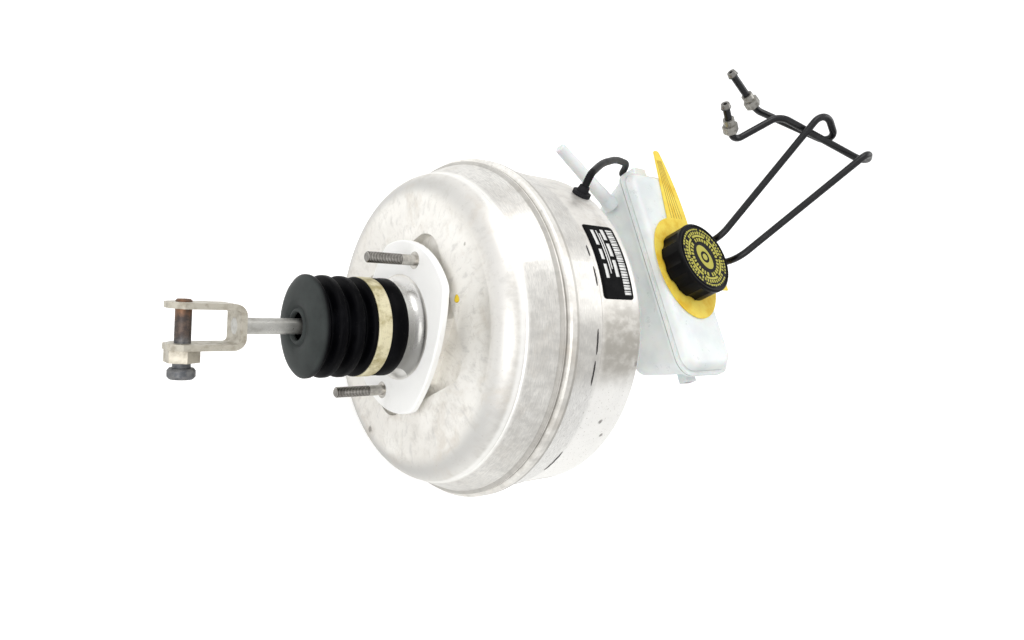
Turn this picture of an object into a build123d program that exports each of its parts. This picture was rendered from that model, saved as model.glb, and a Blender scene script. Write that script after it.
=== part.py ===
"""Vacuum brake booster with its tandem master cylinder, fluid reservoir and brake pipes.

Frame: the origin is the centre of the mounting flange's bulkhead face, +X runs along the booster
axis from the pedal towards the master cylinder, +Y is to the left and +Z is up.
All lengths are in millimetres.
"""
import os
from math import cos, radians, sin

from build123d import *

# ---------------------------------------------------------------- driving dimensions
# Vacuum shells
WALL = 2.5                  # sheet thickness of both shells
RIM_R = 134.3               # outside of the crimped rim
RIM_BACK = 52.0             # where the rim's outer bead starts, forward of the flange face
RIM_WIDTH = 9.0
SHOULDER_R = RIM_R - 14.9   # rear shell, at the start of its cone
SHOULDER_X = 23.5
DOME_FACE_X = 9.0           # flat rear face of the dome
DOME_FLAT_R = SHOULDER_R - 18.4
DOME_CORNER_R = 20.0
RECESS_HALF = 58.5          # half side of the square recess in the dome
RECESS_CORNER = 20.0
RECESS_DEPTH = 6.0
FRONT_R = RIM_R - 4.3       # front shell's drum
FRONT_FACE_X = 134.0
FRONT_EDGE_R = 8.0          # rounding of the drum's front edge
FRONT_STEP_X = 87.0         # the drum narrows a little here
FRONT_STEP = 0.8
FRONT_DISH = 3.0            # the front face stands out a little inside this radius
FRONT_DISH_R = FRONT_R - 40.0
FRONT_HUB_R = 52.0          # raised hub that carries the master cylinder
FRONT_HUB_X = 146.0

# Bulkhead flange, neck and studs
PLATE_THICK = 5.0
PLATE_R = 66.0              # rounded ends of the plate
PLATE_HALF_WIDTH = 52.6
PLATE_SIDE_R = 136.0        # the plate's long sides bow outwards
PLATE_ANGLE = 45.5          # the plate's long axis, up from +Y
NECK_R = 33.0
NECK_FOOT_R = 40.0
NECK_END_X = -38.0
NECK_BORE_R = 30.5
STUD_R = 4.0                # M8
STUD_PCD = 108.0
STUD_LENGTH = 40.0
STUD_SHANK_R = 4.5          # serrated shank, pressed through the plate and the shell
STUD_COLLAR_R = 6.5         # collars set flush in the plate's bulkhead face
STUD_COLLAR_THICK = 1.6
STUD_HEAD_R = 7.5
STUD_HEAD_THICK = 2.0

# Running clearances
SLIDE_GAP = 0.05            # radial, pistons and shafts in their bores
LOOSE_GAP = 0.3             # soft parts and covers

# Travel
POWER_STROKE = 28.0
VALVE_LIFT = 1.5
SECONDARY_SHARE = 0.5       # secondary piston's share of the primary piston's stroke

# Rubber boot
BOOT_R = 36.3
BOOT_BACK_X = -81.2
BOOT_CREST_X = -76.5        # crest of the large rear lobe
BOOT_VALLEY_X = -69.8       # first of the valleys between the lobes
BOOT_VALLEYS = 3
BOOT_PITCH = 13.1
BOOT_VALLEY_DEPTH = 6.2
BOOT_WALL = 2.2
BOOT_FRONT_X = -12.5
BOOT_MOUTH_R = 10.1         # opening round the push rod
BAND_X = (-37.0, -26.5)

# Valve body (power piston)
GUIDE_R = 27.9
TAIL_R = 24.0
TAIL_BORE_R = 21.0
TAIL_END_X = -72.0
TAIL_STEP_X = -43.0         # from here back the body is the thinner tail
HUB_BACK_X = 21.0
HUB_THICK = 8.0
HUB_R = 50.0
PLUNGER_R = 9.0
WAIST_X = (2.0, 9.5)        # plunger's waist, which the key straddles
WAIST_R = 6.5
KEY_X = 5.75
KEY_THICK = 3.2
KEY_REACH = 24.0
REACTION_R = 15.0
REACTION_THICK = 7.0

# Push rod and clevis
ROD_R = 5.5
ROD_BALL_R = 7.0
ROD_BALL_X = -12.0
CLEVIS_ROLL = 26.5          # the fork's turn about the rod
CLEVIS_GAP = 22.0
CLEVIS_THICK = 4.0
CLEVIS_WIDTH = 25.0
CLEVIS_WEB_X = -120.5       # outer face of the web
CLEVIS_TIP_X = -167.0
CLEVIS_EAR_CHAMFER = 7.5
PIN_X = -156.5
PIN_R = 5.0
PIN_HEAD_R = 8.5
PIN_HEAD_THICK = 7.0
PIN_NECK_LENGTH = 3.6
CLEVIS_NUT_AF = 19.0
CLEVIS_NUT_THICK = 8.0

# Diaphragm and springs inside the shells
PLATE_DISC_R = SHOULDER_R - 7.4         # diaphragm support plate
PLATE_DISC_THICK = 2.0
PLATE_RIM_LENGTH = 12.0
RUBBER = 2.0
BEAD_THICK = 2.6            # diaphragm bead clamped between the shells
SPRING_WIRE = 4.0
SPRING_R = 30.3
SPRING_TURNS = 4.0

# Master cylinder
MC_R = 18.0                 # barrel
MC_BORE_R = 11.9            # 15/16 inch class bore
MC_END_X = 330.0
MC_FLANGE_THICK = 12.0
MC_FLANGE_R = 27.0
MC_LUG_R = 11.0             # flange ears round its two studs
MC_STUD_PCD = 84.0
MC_SPIGOT_R = 24.5
MC_PLUNGE_X = 116.0         # rear mouth of the bore, inside the front shell
PRIMARY_BACK_X = 119.0
PRIMARY_LENGTH = 62.0
SECONDARY_BACK_X = 222.0
SECONDARY_LENGTH = 52.0
BORE_END_X = 318.0
PORT_XS = (232.0, 276.0)    # reservoir ports
OUTLET_XS = (298.0, 321.0)  # brake pipe outlets, on the left side

# Reservoir
TANK_X = (217.0, 284.0)     # walls at the seam
TANK_Y = (-72.0, 121.0)
SEAM_Z = 80.0
SEAM_LIP = 2.4
SEAM_THICK = 2.2            # each half's weld lip
TANK_FLOOR_Z = 27.0
TANK_TOP_Z = 91.0
TANK_WALL = 2.4
TANK_TAPER = 15.0           # how far the lower half's ends draw in
TANK_CROWN = 6.0            # rounding of the upper half's top edge
NECK_X, NECK_Y = 254.5, 23.5
FILLER_R = 27.0
FILLER_TOP_Z = 108.0

# Reservoir cap
CAP_R = 33.0
CAP_BASE_Z = 93.6
CAP_TOP_Z = 114.0
CAP_FLUTES = 10
CAP_THREAD_PITCH = 6.0

# Brake pipes
PIPE_R = 3.2                # 6 mm steel tube with its coating
PIPE_BORE_R = 1.7
FLARE_R = 4.6
NUT_AF = 12.0

STEEL_NUT = 14.0            # across flats of the M8 nuts
NUT_HEIGHT = 6.5

# Ports, lugs and outlets on the master cylinder
PORT_BOSS_R = 12.0
PORT_TOP_Z = 22.0
PORT_FLOOR_Z = 14.0
PORT_SOCKET_R = 10.0
SPIGOT_R = 6.8              # reservoir spigots
OUTLET_BOSS_R = 9.0
OUTLET_FACE_Y = 27.0
OUTLET_THREAD_R = 5.0
OUTLET_THREAD_DEPTH = 11.0
PIN_LUG_HALF = 8.0
PIN_LUG_TOP_Z = 26.0
RETAINING_PIN_R = 2.5
RETAINING_PIN_Z = 21.5

# Vacuum check valve
CHECK_VALVE_RADIUS = FRONT_R - 55.0     # its place on the front face
CHECK_VALVE_ANGLE = -31.4
CHECK_VALVE_AT = (CHECK_VALVE_RADIUS * cos(radians(CHECK_VALVE_ANGLE)),
                  CHECK_VALVE_RADIUS * sin(radians(CHECK_VALVE_ANGLE)))
CHECK_HOSE_DIRECTION = (0.35, 0.9, -0.25)
GROMMET_HOLE_R = 11.0
CHECK_STEM_R = 8.0
CHECK_HOSE_R = 7.2

# Travel sensor lead, between the front drum and the reservoir's left end
LEAD_R = 3.0
LEAD_X = 120.5
LEAD_ANGLE = 57.0                       # up from +Y
LEAD_GROMMET_HOLE_R = 5.0
LEAD_PLUG = (256.0, 71.0)               # (x, z) of its plug on the reservoir's end
PLUG_SIZE = (18.0, 11.0)
PLUG_THICK = 14.0
PLUG_COLLAR_LENGTH = 5.0
PLUG_Y = TANK_Y[1] - 0.3                # face of the pad it sits on
LEAD_ROUTE = ((148, 99, 117), (190, 119, 101), (222, 127.5, 88))

# Small things on the reservoir
SPOUT_ROOT = (219.0, 98.0, 60.0)
SPOUT_DIRECTION = (-59.0, 48.0, 8.0)
SPOUT_ROOT_R = 8.0
SPOUT_ROOT_LENGTH = 10.0
SPOUT_R = 5.0               # at its free end
SPOUT_TAPER = 1.2           # degrees
SPOUT_LENGTH = 76.0
TAG_HALF = (38.0, 49.5)     # oval round the filler neck
TAG_BLADE = ((-5.0, 40.0), (8.5, 123.0), (15.5, 123.0), (24.5, 40.0))   # from the neck's centre
TAG_BLADE_BOW = 3.5
TAG_TAB = (46.0, -15.0)
TAG_TAB_SIZE = (18.0, 11.0)
TAG_THICK = 1.2
SOCKET_AT = (257.6, 55.0)   # (x, z) of the level switch's socket, on the right end
SOCKET_SIZE = (16.0, 9.0)
SOCKET_LENGTH = 6.0
SOCKET_Y = TANK_Y[0] + 4.6
PAD_DEPTH = 8.0
FLOAT_AT = (236.0, -28.0)
FLOAT_Z = 56.0
FLOAT_STEM_R = 3.0
FLOAT_STEM_HEIGHT = 44.0

# Pipe routes after the outlets, each ending at its flared end
ROUTE_A = ((298, 52, 0), (293, 48, 113), (353, 130, 220), (385, 104, 205.4), (348, 146, 176),
           (326, 153, 172), (284, 178, 181))
BENDS_A = (14, 22, 12, 8.5, 22, 24)
ROUTE_B = ((321, 53, 0), (305, 25, 115), (373, 80, 233), (398, 80, 219), (333, 139, 187),
           (295, 124, 155), (265, 144, 175))
BENDS_B = (14, 24, 9, 9, 18, 10)
NUT_LENGTH = 14.0
NUT_SET_BACKS = (29.0, 16.0)                     # free nut's front face, back from the flare


# ---------------------------------------------------------------- helpers
def turned(*points):
    """Closed half section about the X axis, from (x, radius) pairs."""
    with BuildSketch(Plane.XZ) as section:
        with BuildLine():
            Polyline(*points, close=True)
        make_face()
    return section.sketch


def cross_plane(x, roll=0.0):
    """Plane across the booster axis at x. Its own x axis is +Y turned by roll degrees towards +Z."""
    return Plane(origin=(x, 0, 0), x_dir=(0, cos(radians(roll)), sin(radians(roll))), z_dir=(1, 0, 0))


def spring_coil(start_x, end_x, radius, wire, turns):
    """Round-wire spring about the X axis between two faces."""
    length = end_x - start_x - wire
    with BuildPart() as coil:
        with BuildLine() as path:
            Helix(pitch=length / turns, height=length, radius=radius,
                  center=(start_x + wire / 2, 0, 0), direction=(1, 0, 0))
        with BuildSketch(Plane(origin=path.line @ 0, z_dir=path.line % 0)):
            RegularPolygon(radius=wire / 2, side_count=8)
        sweep(path=path.line, is_frenet=True)
    return coil.part


def save(builder, name):
    """Label a finished piece and write its STEP file."""
    builder.part.label = name
    export_step(builder.part, f"parts/{name}.step")


os.makedirs("parts", exist_ok=True)

lead_radial = (0, cos(radians(LEAD_ANGLE)), sin(radians(LEAD_ANGLE)))
drum_end_r = FRONT_R - FRONT_STEP
lead_plane = Plane(origin=(LEAD_X, drum_end_r * lead_radial[1], drum_end_r * lead_radial[2]),
                   x_dir=(1, 0, 0), z_dir=lead_radial)

# ---------------------------------------------------------------- rear shell
recess_x = DOME_FACE_X + RECESS_DEPTH
inner_face_x = DOME_FACE_X + WALL
recess_back_x = recess_x + WALL
cone_end_x = RIM_BACK - 5.0
cone_end_r = RIM_R - 5.3
hook_r = RIM_R - WALL                     # inside of the crimp
hook_front_x = RIM_BACK + RIM_WIDTH
lip_x = hook_front_x - 2.2                # back of the folded lip
bead_x = RIM_BACK + 1.0                   # floor of the crimp channel

# What lies inside the rear shell: its dome, less the back of the square recess.
with BuildPart() as rear_hollow:
    with BuildSketch(Plane.XZ):
        with BuildLine():
            Polyline((SHOULDER_X + 1.0, SHOULDER_R - WALL), (cone_end_x + 2.0, cone_end_r - WALL),
                     (bead_x, cone_end_r - WALL + 1.0), (bead_x, hook_r), (lip_x, hook_r),
                     (lip_x, FRONT_R - 0.1), (hook_front_x + 1, FRONT_R - 0.1), (hook_front_x + 1, 0),
                     (inner_face_x, 0), (inner_face_x, DOME_FLAT_R - 1.0))
            RadiusArc((SHOULDER_X + 1.0, SHOULDER_R - WALL), (inner_face_x, DOME_FLAT_R - 1.0),
                      -DOME_CORNER_R)
        make_face()
    revolve(axis=Axis.X)
    with BuildSketch(cross_plane(inner_face_x)):
        RectangleRounded(2 * (RECESS_HALF + WALL), 2 * (RECESS_HALF + WALL), RECESS_CORNER + WALL)
    extrude(amount=RECESS_DEPTH, mode=Mode.SUBTRACT)

with BuildPart() as rear_shell:
    with BuildSketch(Plane.XZ):
        with BuildLine():
            RadiusArc((SHOULDER_X, SHOULDER_R), (DOME_FACE_X, DOME_FLAT_R), -DOME_CORNER_R)
            Polyline((DOME_FACE_X, DOME_FLAT_R), (DOME_FACE_X, 0), (hook_front_x, 0),
                     (hook_front_x, RIM_R - 1.4), (hook_front_x - 1.4, RIM_R), (RIM_BACK + 1.2, RIM_R),
                     (RIM_BACK, RIM_R - 1.2), (RIM_BACK - 0.8, RIM_R - 3.4), (RIM_BACK - 1.6, RIM_R - 2.8),
                     (cone_end_x + 1.2, RIM_R - 2.8), (cone_end_x, cone_end_r),
                     (SHOULDER_X + 2.2, SHOULDER_R + 0.7), (SHOULDER_X + 1.4, SHOULDER_R - 0.3),
                     (SHOULDER_X, SHOULDER_R))
        make_face()
    revolve(axis=Axis.X)
    # Square recess, with drafted sides.
    with BuildSketch(cross_plane(recess_x)):
        RectangleRounded(2 * RECESS_HALF - 3, 2 * RECESS_HALF - 3, RECESS_CORNER - 1.5)
    extrude(amount=-RECESS_DEPTH - 1, taper=-14, mode=Mode.SUBTRACT)
    # Boss under the flange plate.
    with BuildSketch(cross_plane(recess_x, PLATE_ANGLE)):
        Circle(PLATE_R - 14)
        Rectangle(2 * PLATE_R, 2 * (PLATE_HALF_WIDTH - 8), mode=Mode.INTERSECT)
    extrude(amount=-(recess_x - PLATE_THICK))
    add(rear_hollow.part, mode=Mode.SUBTRACT)
    # Drawn neck, with a filleted foot that fills the plate's hole.
    with BuildSketch(Plane.XZ):
        with BuildLine():
            Polyline((recess_back_x, 0), (recess_back_x, NECK_FOOT_R), (0, NECK_FOOT_R))
            RadiusArc((0, NECK_FOOT_R), (-(NECK_FOOT_R - NECK_R), NECK_R), NECK_FOOT_R - NECK_R)
            Polyline((-(NECK_FOOT_R - NECK_R), NECK_R), (NECK_END_X, NECK_R), (NECK_END_X, 0),
                     (recess_back_x, 0))
        make_face()
    revolve(axis=Axis.X)
    with BuildSketch(cross_plane(NECK_END_X - 1)):
        Circle(NECK_BORE_R)
    extrude(amount=recess_back_x - NECK_END_X + 2, mode=Mode.SUBTRACT)
    # Clearance for the neck seal's groove, and the stud holes.
    with BuildSketch(cross_plane(-4)):
        Circle(NECK_BORE_R + 1.5)
    extrude(amount=12, mode=Mode.SUBTRACT)
    with BuildSketch(cross_plane(-1, PLATE_ANGLE)):
        with PolarLocations(STUD_PCD / 2, 2):
            Circle(STUD_SHANK_R + SLIDE_GAP)
    extrude(amount=recess_back_x + 2, mode=Mode.SUBTRACT)
save(rear_shell, "rear_shell")

# ---------------------------------------------------------------- bulkhead flange and studs
with BuildPart() as mounting_flange:
    side_shift = PLATE_SIDE_R - PLATE_HALF_WIDTH
    with BuildSketch(cross_plane(0, PLATE_ANGLE)) as plate_outline:
        Circle(PLATE_R)
        for side in (1, -1):
            with Locations((0, side * side_shift)):
                Circle(PLATE_SIDE_R, mode=Mode.INTERSECT)
        fillet(plate_outline.vertices(), 13)
        Circle(NECK_FOOT_R + 0.1, mode=Mode.SUBTRACT)
        with PolarLocations(STUD_PCD / 2, 2):
            Circle(STUD_SHANK_R + SLIDE_GAP, mode=Mode.SUBTRACT)
    extrude(amount=PLATE_THICK)
    rim_edges = mounting_flange.faces().sort_by(Axis.X)[0].outer_wire().edges()
    fillet(rim_edges, 1.5)
    with BuildSketch(cross_plane(0, PLATE_ANGLE)):
        with PolarLocations(STUD_PCD / 2, 2):
            Circle(STUD_COLLAR_R + SLIDE_GAP)
    extrude(amount=STUD_COLLAR_THICK, mode=Mode.SUBTRACT)
save(mounting_flange, "mounting_flange")

with BuildPart() as mounting_studs:
    with BuildSketch(cross_plane(-STUD_LENGTH, PLATE_ANGLE)):
        with PolarLocations(STUD_PCD / 2, 2):
            Circle(STUD_R)
    extrude(amount=STUD_LENGTH)
    chamfer(mounting_studs.edges().filter_by(GeomType.CIRCLE).group_by(Axis.X)[0], 0.9)
    with BuildSketch(cross_plane(0, PLATE_ANGLE)):
        with PolarLocations(STUD_PCD / 2, 2):
            Circle(STUD_SHANK_R)
    extrude(amount=recess_back_x)
    with BuildSketch(cross_plane(0, PLATE_ANGLE)):
        with PolarLocations(STUD_PCD / 2, 2):
            Circle(STUD_COLLAR_R)
    extrude(amount=STUD_COLLAR_THICK)
    # Heads inside the shell.
    with BuildSketch(cross_plane(recess_back_x, PLATE_ANGLE)):
        with PolarLocations(STUD_PCD / 2, 2):
            Circle(STUD_HEAD_R)
    extrude(amount=STUD_HEAD_THICK)
save(mounting_studs, "mounting_studs")

# ---------------------------------------------------------------- neck seal and boot
with BuildPart() as neck_seal:
    lip_r = GUIDE_R + SLIDE_GAP
    seat_r = NECK_BORE_R + 1.5
    revolve(turned((-4, lip_r + 0.6), (-3, lip_r), (-1, lip_r), (0, lip_r + 0.6), (1, lip_r),
                   (5, lip_r), (7, lip_r + 0.6), (8, seat_r), (-4, seat_r)), axis=Axis.X)
save(neck_seal, "neck_seal")


def boot_outline():
    """Outer radius of the boot from its rear face to the last valley, as (x, radius) pairs."""
    points = [(BOOT_BACK_X, BOOT_R - 15.0), (BOOT_BACK_X + 1.0, BOOT_R - 7.6), (BOOT_BACK_X + 3.4, BOOT_R - 1.5),
              (BOOT_CREST_X, BOOT_R), (BOOT_CREST_X + 2.0, BOOT_R)]
    for valley in range(BOOT_VALLEYS):
        x = BOOT_VALLEY_X + valley * BOOT_PITCH
        points += [(x - 3.6, BOOT_R - 0.8), (x - 1.4, BOOT_R - 0.8 * BOOT_VALLEY_DEPTH),
                   (x, BOOT_R - BOOT_VALLEY_DEPTH), (x + 1.4, BOOT_R - 0.8 * BOOT_VALLEY_DEPTH),
                   (x + 3.6, BOOT_R - 0.8)]
        if valley < BOOT_VALLEYS - 1:
            points.append((x + BOOT_PITCH / 2, BOOT_R))
    return points


with BuildPart() as boot:
    outside = boot_outline()
    sleeve_start = outside[-1][0]
    outside += [(BAND_X[0], BOOT_R - 0.6),
                (BAND_X[0], BOOT_R - 1.6), (BAND_X[1], BOOT_R - 1.6), (BAND_X[1], BOOT_R - 0.4),
                (BOOT_FRONT_X - 5, BOOT_R - 0.4), (BOOT_FRONT_X - 4, BOOT_R), (BOOT_FRONT_X - 1, BOOT_R),
                (BOOT_FRONT_X, BOOT_R - 1)]
    end_wall_x = BOOT_BACK_X + BOOT_WALL
    inside = [(x, r - BOOT_WALL) for x, r in outside if end_wall_x + 2 < x < sleeve_start]
    inside = [(end_wall_x, BOOT_MOUTH_R), (end_wall_x + 0.5, BOOT_R - 10.0)] + inside
    inside += [(NECK_END_X - 0.4, NECK_R + 0.05), (BOOT_FRONT_X, NECK_R + 0.05)]
    revolve(turned(*outside, *inside[::-1], (BOOT_BACK_X, BOOT_MOUTH_R)), axis=Axis.X)
save(boot, "boot")

with BuildPart() as boot_band:
    band_r = BOOT_R - 1.55
    revolve(turned((BAND_X[0], band_r), (BAND_X[1], band_r), (BAND_X[1], band_r + 1.3),
                   (BAND_X[1] - 1, band_r + 1.7), (BAND_X[0] + 1, band_r + 1.7), (BAND_X[0], band_r + 1.3)),
            axis=Axis.X)
save(boot_band, "boot_band")

# ---------------------------------------------------------------- valve body and valve
hub_front_x = HUB_BACK_X + HUB_THICK
with BuildPart() as valve_body:
    revolve(turned((TAIL_END_X, TAIL_BORE_R), (TAIL_END_X, TAIL_R), (TAIL_STEP_X, TAIL_R),
                   (TAIL_STEP_X + 2, GUIDE_R), (HUB_BACK_X, GUIDE_R), (HUB_BACK_X, HUB_R - 2),
                   (HUB_BACK_X + 2, HUB_R), (hub_front_x - 2, HUB_R), (hub_front_x, HUB_R - 2),
                   (hub_front_x, 24), (hub_front_x + 6, 22), (hub_front_x + 6, REACTION_R + 0.1),
                   (hub_front_x - 4, REACTION_R + 0.1), (hub_front_x - 4, PLUNGER_R + SLIDE_GAP),
                   (-16, PLUNGER_R + SLIDE_GAP), (-16, 14), (-14, TAIL_BORE_R)), axis=Axis.X)
    # Vacuum and air passages, and the slot that takes the key.
    with BuildSketch(cross_plane(-17)):
        with PolarLocations(17, 2, start_angle=90):
            SlotOverall(12, 5, rotation=90)
    extrude(amount=60, mode=Mode.SUBTRACT)
    key_width = 2 * PLUNGER_R + 4
    with BuildSketch(Plane.XZ.offset(-9)):
        with Locations((KEY_X, 0)):
            Rectangle(KEY_THICK + 0.4, key_width + 0.4)
    extrude(amount=GUIDE_R + 10, mode=Mode.SUBTRACT)
save(valve_body, "valve_body")

with BuildPart() as valve_plunger:
    socket_x = ROD_BALL_X + ROD_BALL_R + 0.1
    revolve(turned((-22, ROD_R + 2.1), (-22, PLUNGER_R), (WAIST_X[0], PLUNGER_R), (WAIST_X[0], WAIST_R),
                   (WAIST_X[1], WAIST_R), (WAIST_X[1], PLUNGER_R), (17, PLUNGER_R), (22, PLUNGER_R - 3), (22, 0),
                   (socket_x, 0), (socket_x, ROD_BALL_R + 0.1), (ROD_BALL_X - 0.5, ROD_BALL_R + 0.1),
                   (ROD_BALL_X - 5.5, ROD_R + 0.9)), axis=Axis.X)
save(valve_plunger, "valve_plunger")

with BuildPart() as valve_key:
    with BuildSketch(Plane.XZ.offset(-8)):
        with Locations((KEY_X, 0)):
            Rectangle(KEY_THICK, key_width)
    extrude(amount=KEY_REACH + 8)
    # Fork that straddles the plunger's waist.
    with BuildSketch(Plane.XZ.offset(-9)):
        with Locations((KEY_X, 0)):
            Rectangle(KEY_THICK + 1, 2 * (WAIST_R + 0.2))
    extrude(amount=WAIST_R + 9.5, mode=Mode.SUBTRACT)
save(valve_key, "valve_key")

poppet_back_x, poppet_front_x = -38.0, -24.0
retainer_wall_x = poppet_back_x - 4.0
tail_fit_r = TAIL_BORE_R - 0.1
with BuildPart() as poppet_valve:
    revolve(turned((poppet_front_x, 10.0), (poppet_front_x, 16), (poppet_back_x, 18.5),
                   (poppet_back_x, tail_fit_r), (poppet_back_x + 4, tail_fit_r), (poppet_back_x + 4, 20),
                   (poppet_front_x + 1.6, 17.6), (poppet_front_x + 1.6, 10.0)), axis=Axis.X)
save(poppet_valve, "poppet_valve")

with BuildPart() as valve_retainer:
    revolve(turned((retainer_wall_x - 2, 13.2), (retainer_wall_x - 2, tail_fit_r),
                   (poppet_back_x - 0.1, tail_fit_r), (poppet_back_x - 0.1, 19),
                   (retainer_wall_x, 19), (retainer_wall_x, 13.2)), axis=Axis.X)
save(valve_retainer, "valve_retainer")

with BuildPart() as poppet_spring:
    add(spring_coil(retainer_wall_x + 0.1, poppet_front_x - 0.1, 14.4, 1.4, 3))
save(poppet_spring, "poppet_spring")

with BuildPart() as air_filter:
    filter_x = TAIL_END_X + 6.0
    revolve(turned((filter_x, 10), (filter_x, tail_fit_r), (filter_x + 12, tail_fit_r), (filter_x + 12, 10)),
            axis=Axis.X)
save(air_filter, "air_filter")

with BuildPart() as tail_grille:
    revolve(turned((TAIL_END_X, 9.5), (TAIL_END_X, tail_fit_r), (TAIL_END_X + 5.8, tail_fit_r),
                   (TAIL_END_X + 5.8, 19), (TAIL_END_X + 3, 19), (TAIL_END_X + 3, 9.5)), axis=Axis.X)
    with BuildSketch(cross_plane(TAIL_END_X - 1)):
        with PolarLocations(12.6, 6):
            SlotArc(CenterArc((0, 0), 12.6, -18, 36), 3.0, mode=Mode.ADD)
    extrude(amount=6, mode=Mode.SUBTRACT)
save(tail_grille, "tail_grille")

with BuildPart() as reaction_disc:
    revolve(turned((hub_front_x - 3.9, 0), (hub_front_x - 3.9, REACTION_R), (hub_front_x + 2.9, REACTION_R),
                   (hub_front_x + 2.9, 0)), axis=Axis.X)
save(reaction_disc, "reaction_disc")

# ---------------------------------------------------------------- push rod, fork and pin
clevis_plane = Plane(origin=(0, 0, 0), x_dir=(1, 0, 0),
                     z_dir=(0, -sin(radians(CLEVIS_ROLL)), cos(radians(CLEVIS_ROLL))))
pin_direction = (0, cos(radians(CLEVIS_ROLL)), sin(radians(CLEVIS_ROLL)))
fork_half = CLEVIS_GAP / 2 + CLEVIS_THICK

with BuildPart() as input_rod:
    revolve(turned((CLEVIS_WEB_X - CLEVIS_THICK, 0), (CLEVIS_WEB_X - CLEVIS_THICK, ROD_R),
                   (ROD_BALL_X, ROD_R), (ROD_BALL_X, 0)), axis=Axis.X)
    with Locations((ROD_BALL_X, 0, 0)):
        Sphere(ROD_BALL_R)
save(input_rod, "input_rod")

with BuildPart() as clevis:
    with BuildSketch(clevis_plane.offset(-CLEVIS_WIDTH / 2)):
        with BuildLine():
            FilletPolyline((CLEVIS_TIP_X, fork_half), (CLEVIS_WEB_X, fork_half),
                           (CLEVIS_WEB_X, -fork_half), (CLEVIS_TIP_X, -fork_half), radius=8)
            Line((CLEVIS_TIP_X, -fork_half), (CLEVIS_TIP_X, -CLEVIS_GAP / 2))
            FilletPolyline((CLEVIS_TIP_X, -CLEVIS_GAP / 2), (CLEVIS_WEB_X - CLEVIS_THICK, -CLEVIS_GAP / 2),
                           (CLEVIS_WEB_X - CLEVIS_THICK, CLEVIS_GAP / 2), (CLEVIS_TIP_X, CLEVIS_GAP / 2),
                           radius=3)
            Line((CLEVIS_TIP_X, CLEVIS_GAP / 2), (CLEVIS_TIP_X, fork_half))
        make_face()
    extrude(amount=CLEVIS_WIDTH)
    ear_ends = clevis.edges().filter_by(Axis(origin=(0, 0, 0), direction=pin_direction))
    chamfer(ear_ends.group_by(Axis.X)[0], CLEVIS_EAR_CHAMFER)
    with BuildSketch(Plane(origin=(PIN_X, 0, 0), x_dir=(1, 0, 0), z_dir=pin_direction)):
        Circle(PIN_R + SLIDE_GAP)
    extrude(amount=fork_half + 1, both=True, mode=Mode.SUBTRACT)
    with BuildSketch(cross_plane(CLEVIS_WEB_X + 1)):
        Circle(ROD_R + SLIDE_GAP)
    extrude(amount=-CLEVIS_THICK - 2, mode=Mode.SUBTRACT)
save(clevis, "clevis")

pin_plane = Plane(origin=(PIN_X, 0, 0), x_dir=(1, 0, 0), z_dir=pin_direction)
with BuildPart() as clevis_nut:
    with BuildSketch(pin_plane.offset(-fork_half)):
        RegularPolygon(radius=CLEVIS_NUT_AF / 2, side_count=6, major_radius=False, rotation=30)
        Circle(PIN_R + SLIDE_GAP, mode=Mode.SUBTRACT)
    extrude(amount=-CLEVIS_NUT_THICK)
save(clevis_nut, "clevis_nut")

pin_bottom = -fork_half - CLEVIS_NUT_THICK - PIN_NECK_LENGTH - PIN_HEAD_THICK
with BuildPart() as clevis_pin:
    with BuildSketch(Plane(origin=(PIN_X, 0, 0), x_dir=(1, 0, 0), z_dir=clevis_plane.z_dir)):
        with BuildLine():
            Polyline((0, fork_half + 1.8), (PIN_R - 1, fork_half + 1.8), (PIN_R, fork_half + 0.8),
                     (PIN_R, -fork_half - CLEVIS_NUT_THICK - 0.3),
                     (PIN_R + 0.5, -fork_half - CLEVIS_NUT_THICK - 0.3),
                     (PIN_R + 0.5, pin_bottom + PIN_HEAD_THICK), (PIN_HEAD_R - 1.2, pin_bottom + PIN_HEAD_THICK),
                     (PIN_HEAD_R, pin_bottom + PIN_HEAD_THICK - 1.6), (PIN_HEAD_R, pin_bottom + 1.6),
                     (PIN_HEAD_R - 1.4, pin_bottom), (0, pin_bottom), (0, fork_half + 1.8))
        make_face()
    revolve(axis=Axis(origin=(PIN_X, 0, 0), direction=pin_direction))
save(clevis_pin, "clevis_pin")

# ---------------------------------------------------------------- diaphragm, its plate and the return spring
plate_back_x = HUB_BACK_X + 3.0
with BuildPart() as diaphragm_plate:
    with BuildSketch(Plane.XZ):
        with BuildLine():
            FilletPolyline((plate_back_x, HUB_R + 0.1), (plate_back_x, 78), (plate_back_x + 4, 84),
                           (plate_back_x, 92), (plate_back_x, PLATE_DISC_R),
                           (plate_back_x + PLATE_RIM_LENGTH, PLATE_DISC_R), radius=4)
            offset(amount=PLATE_DISC_THICK, side=Side.RIGHT)
        make_face()
    revolve(axis=Axis.X)
save(diaphragm_plate, "diaphragm_plate")

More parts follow.
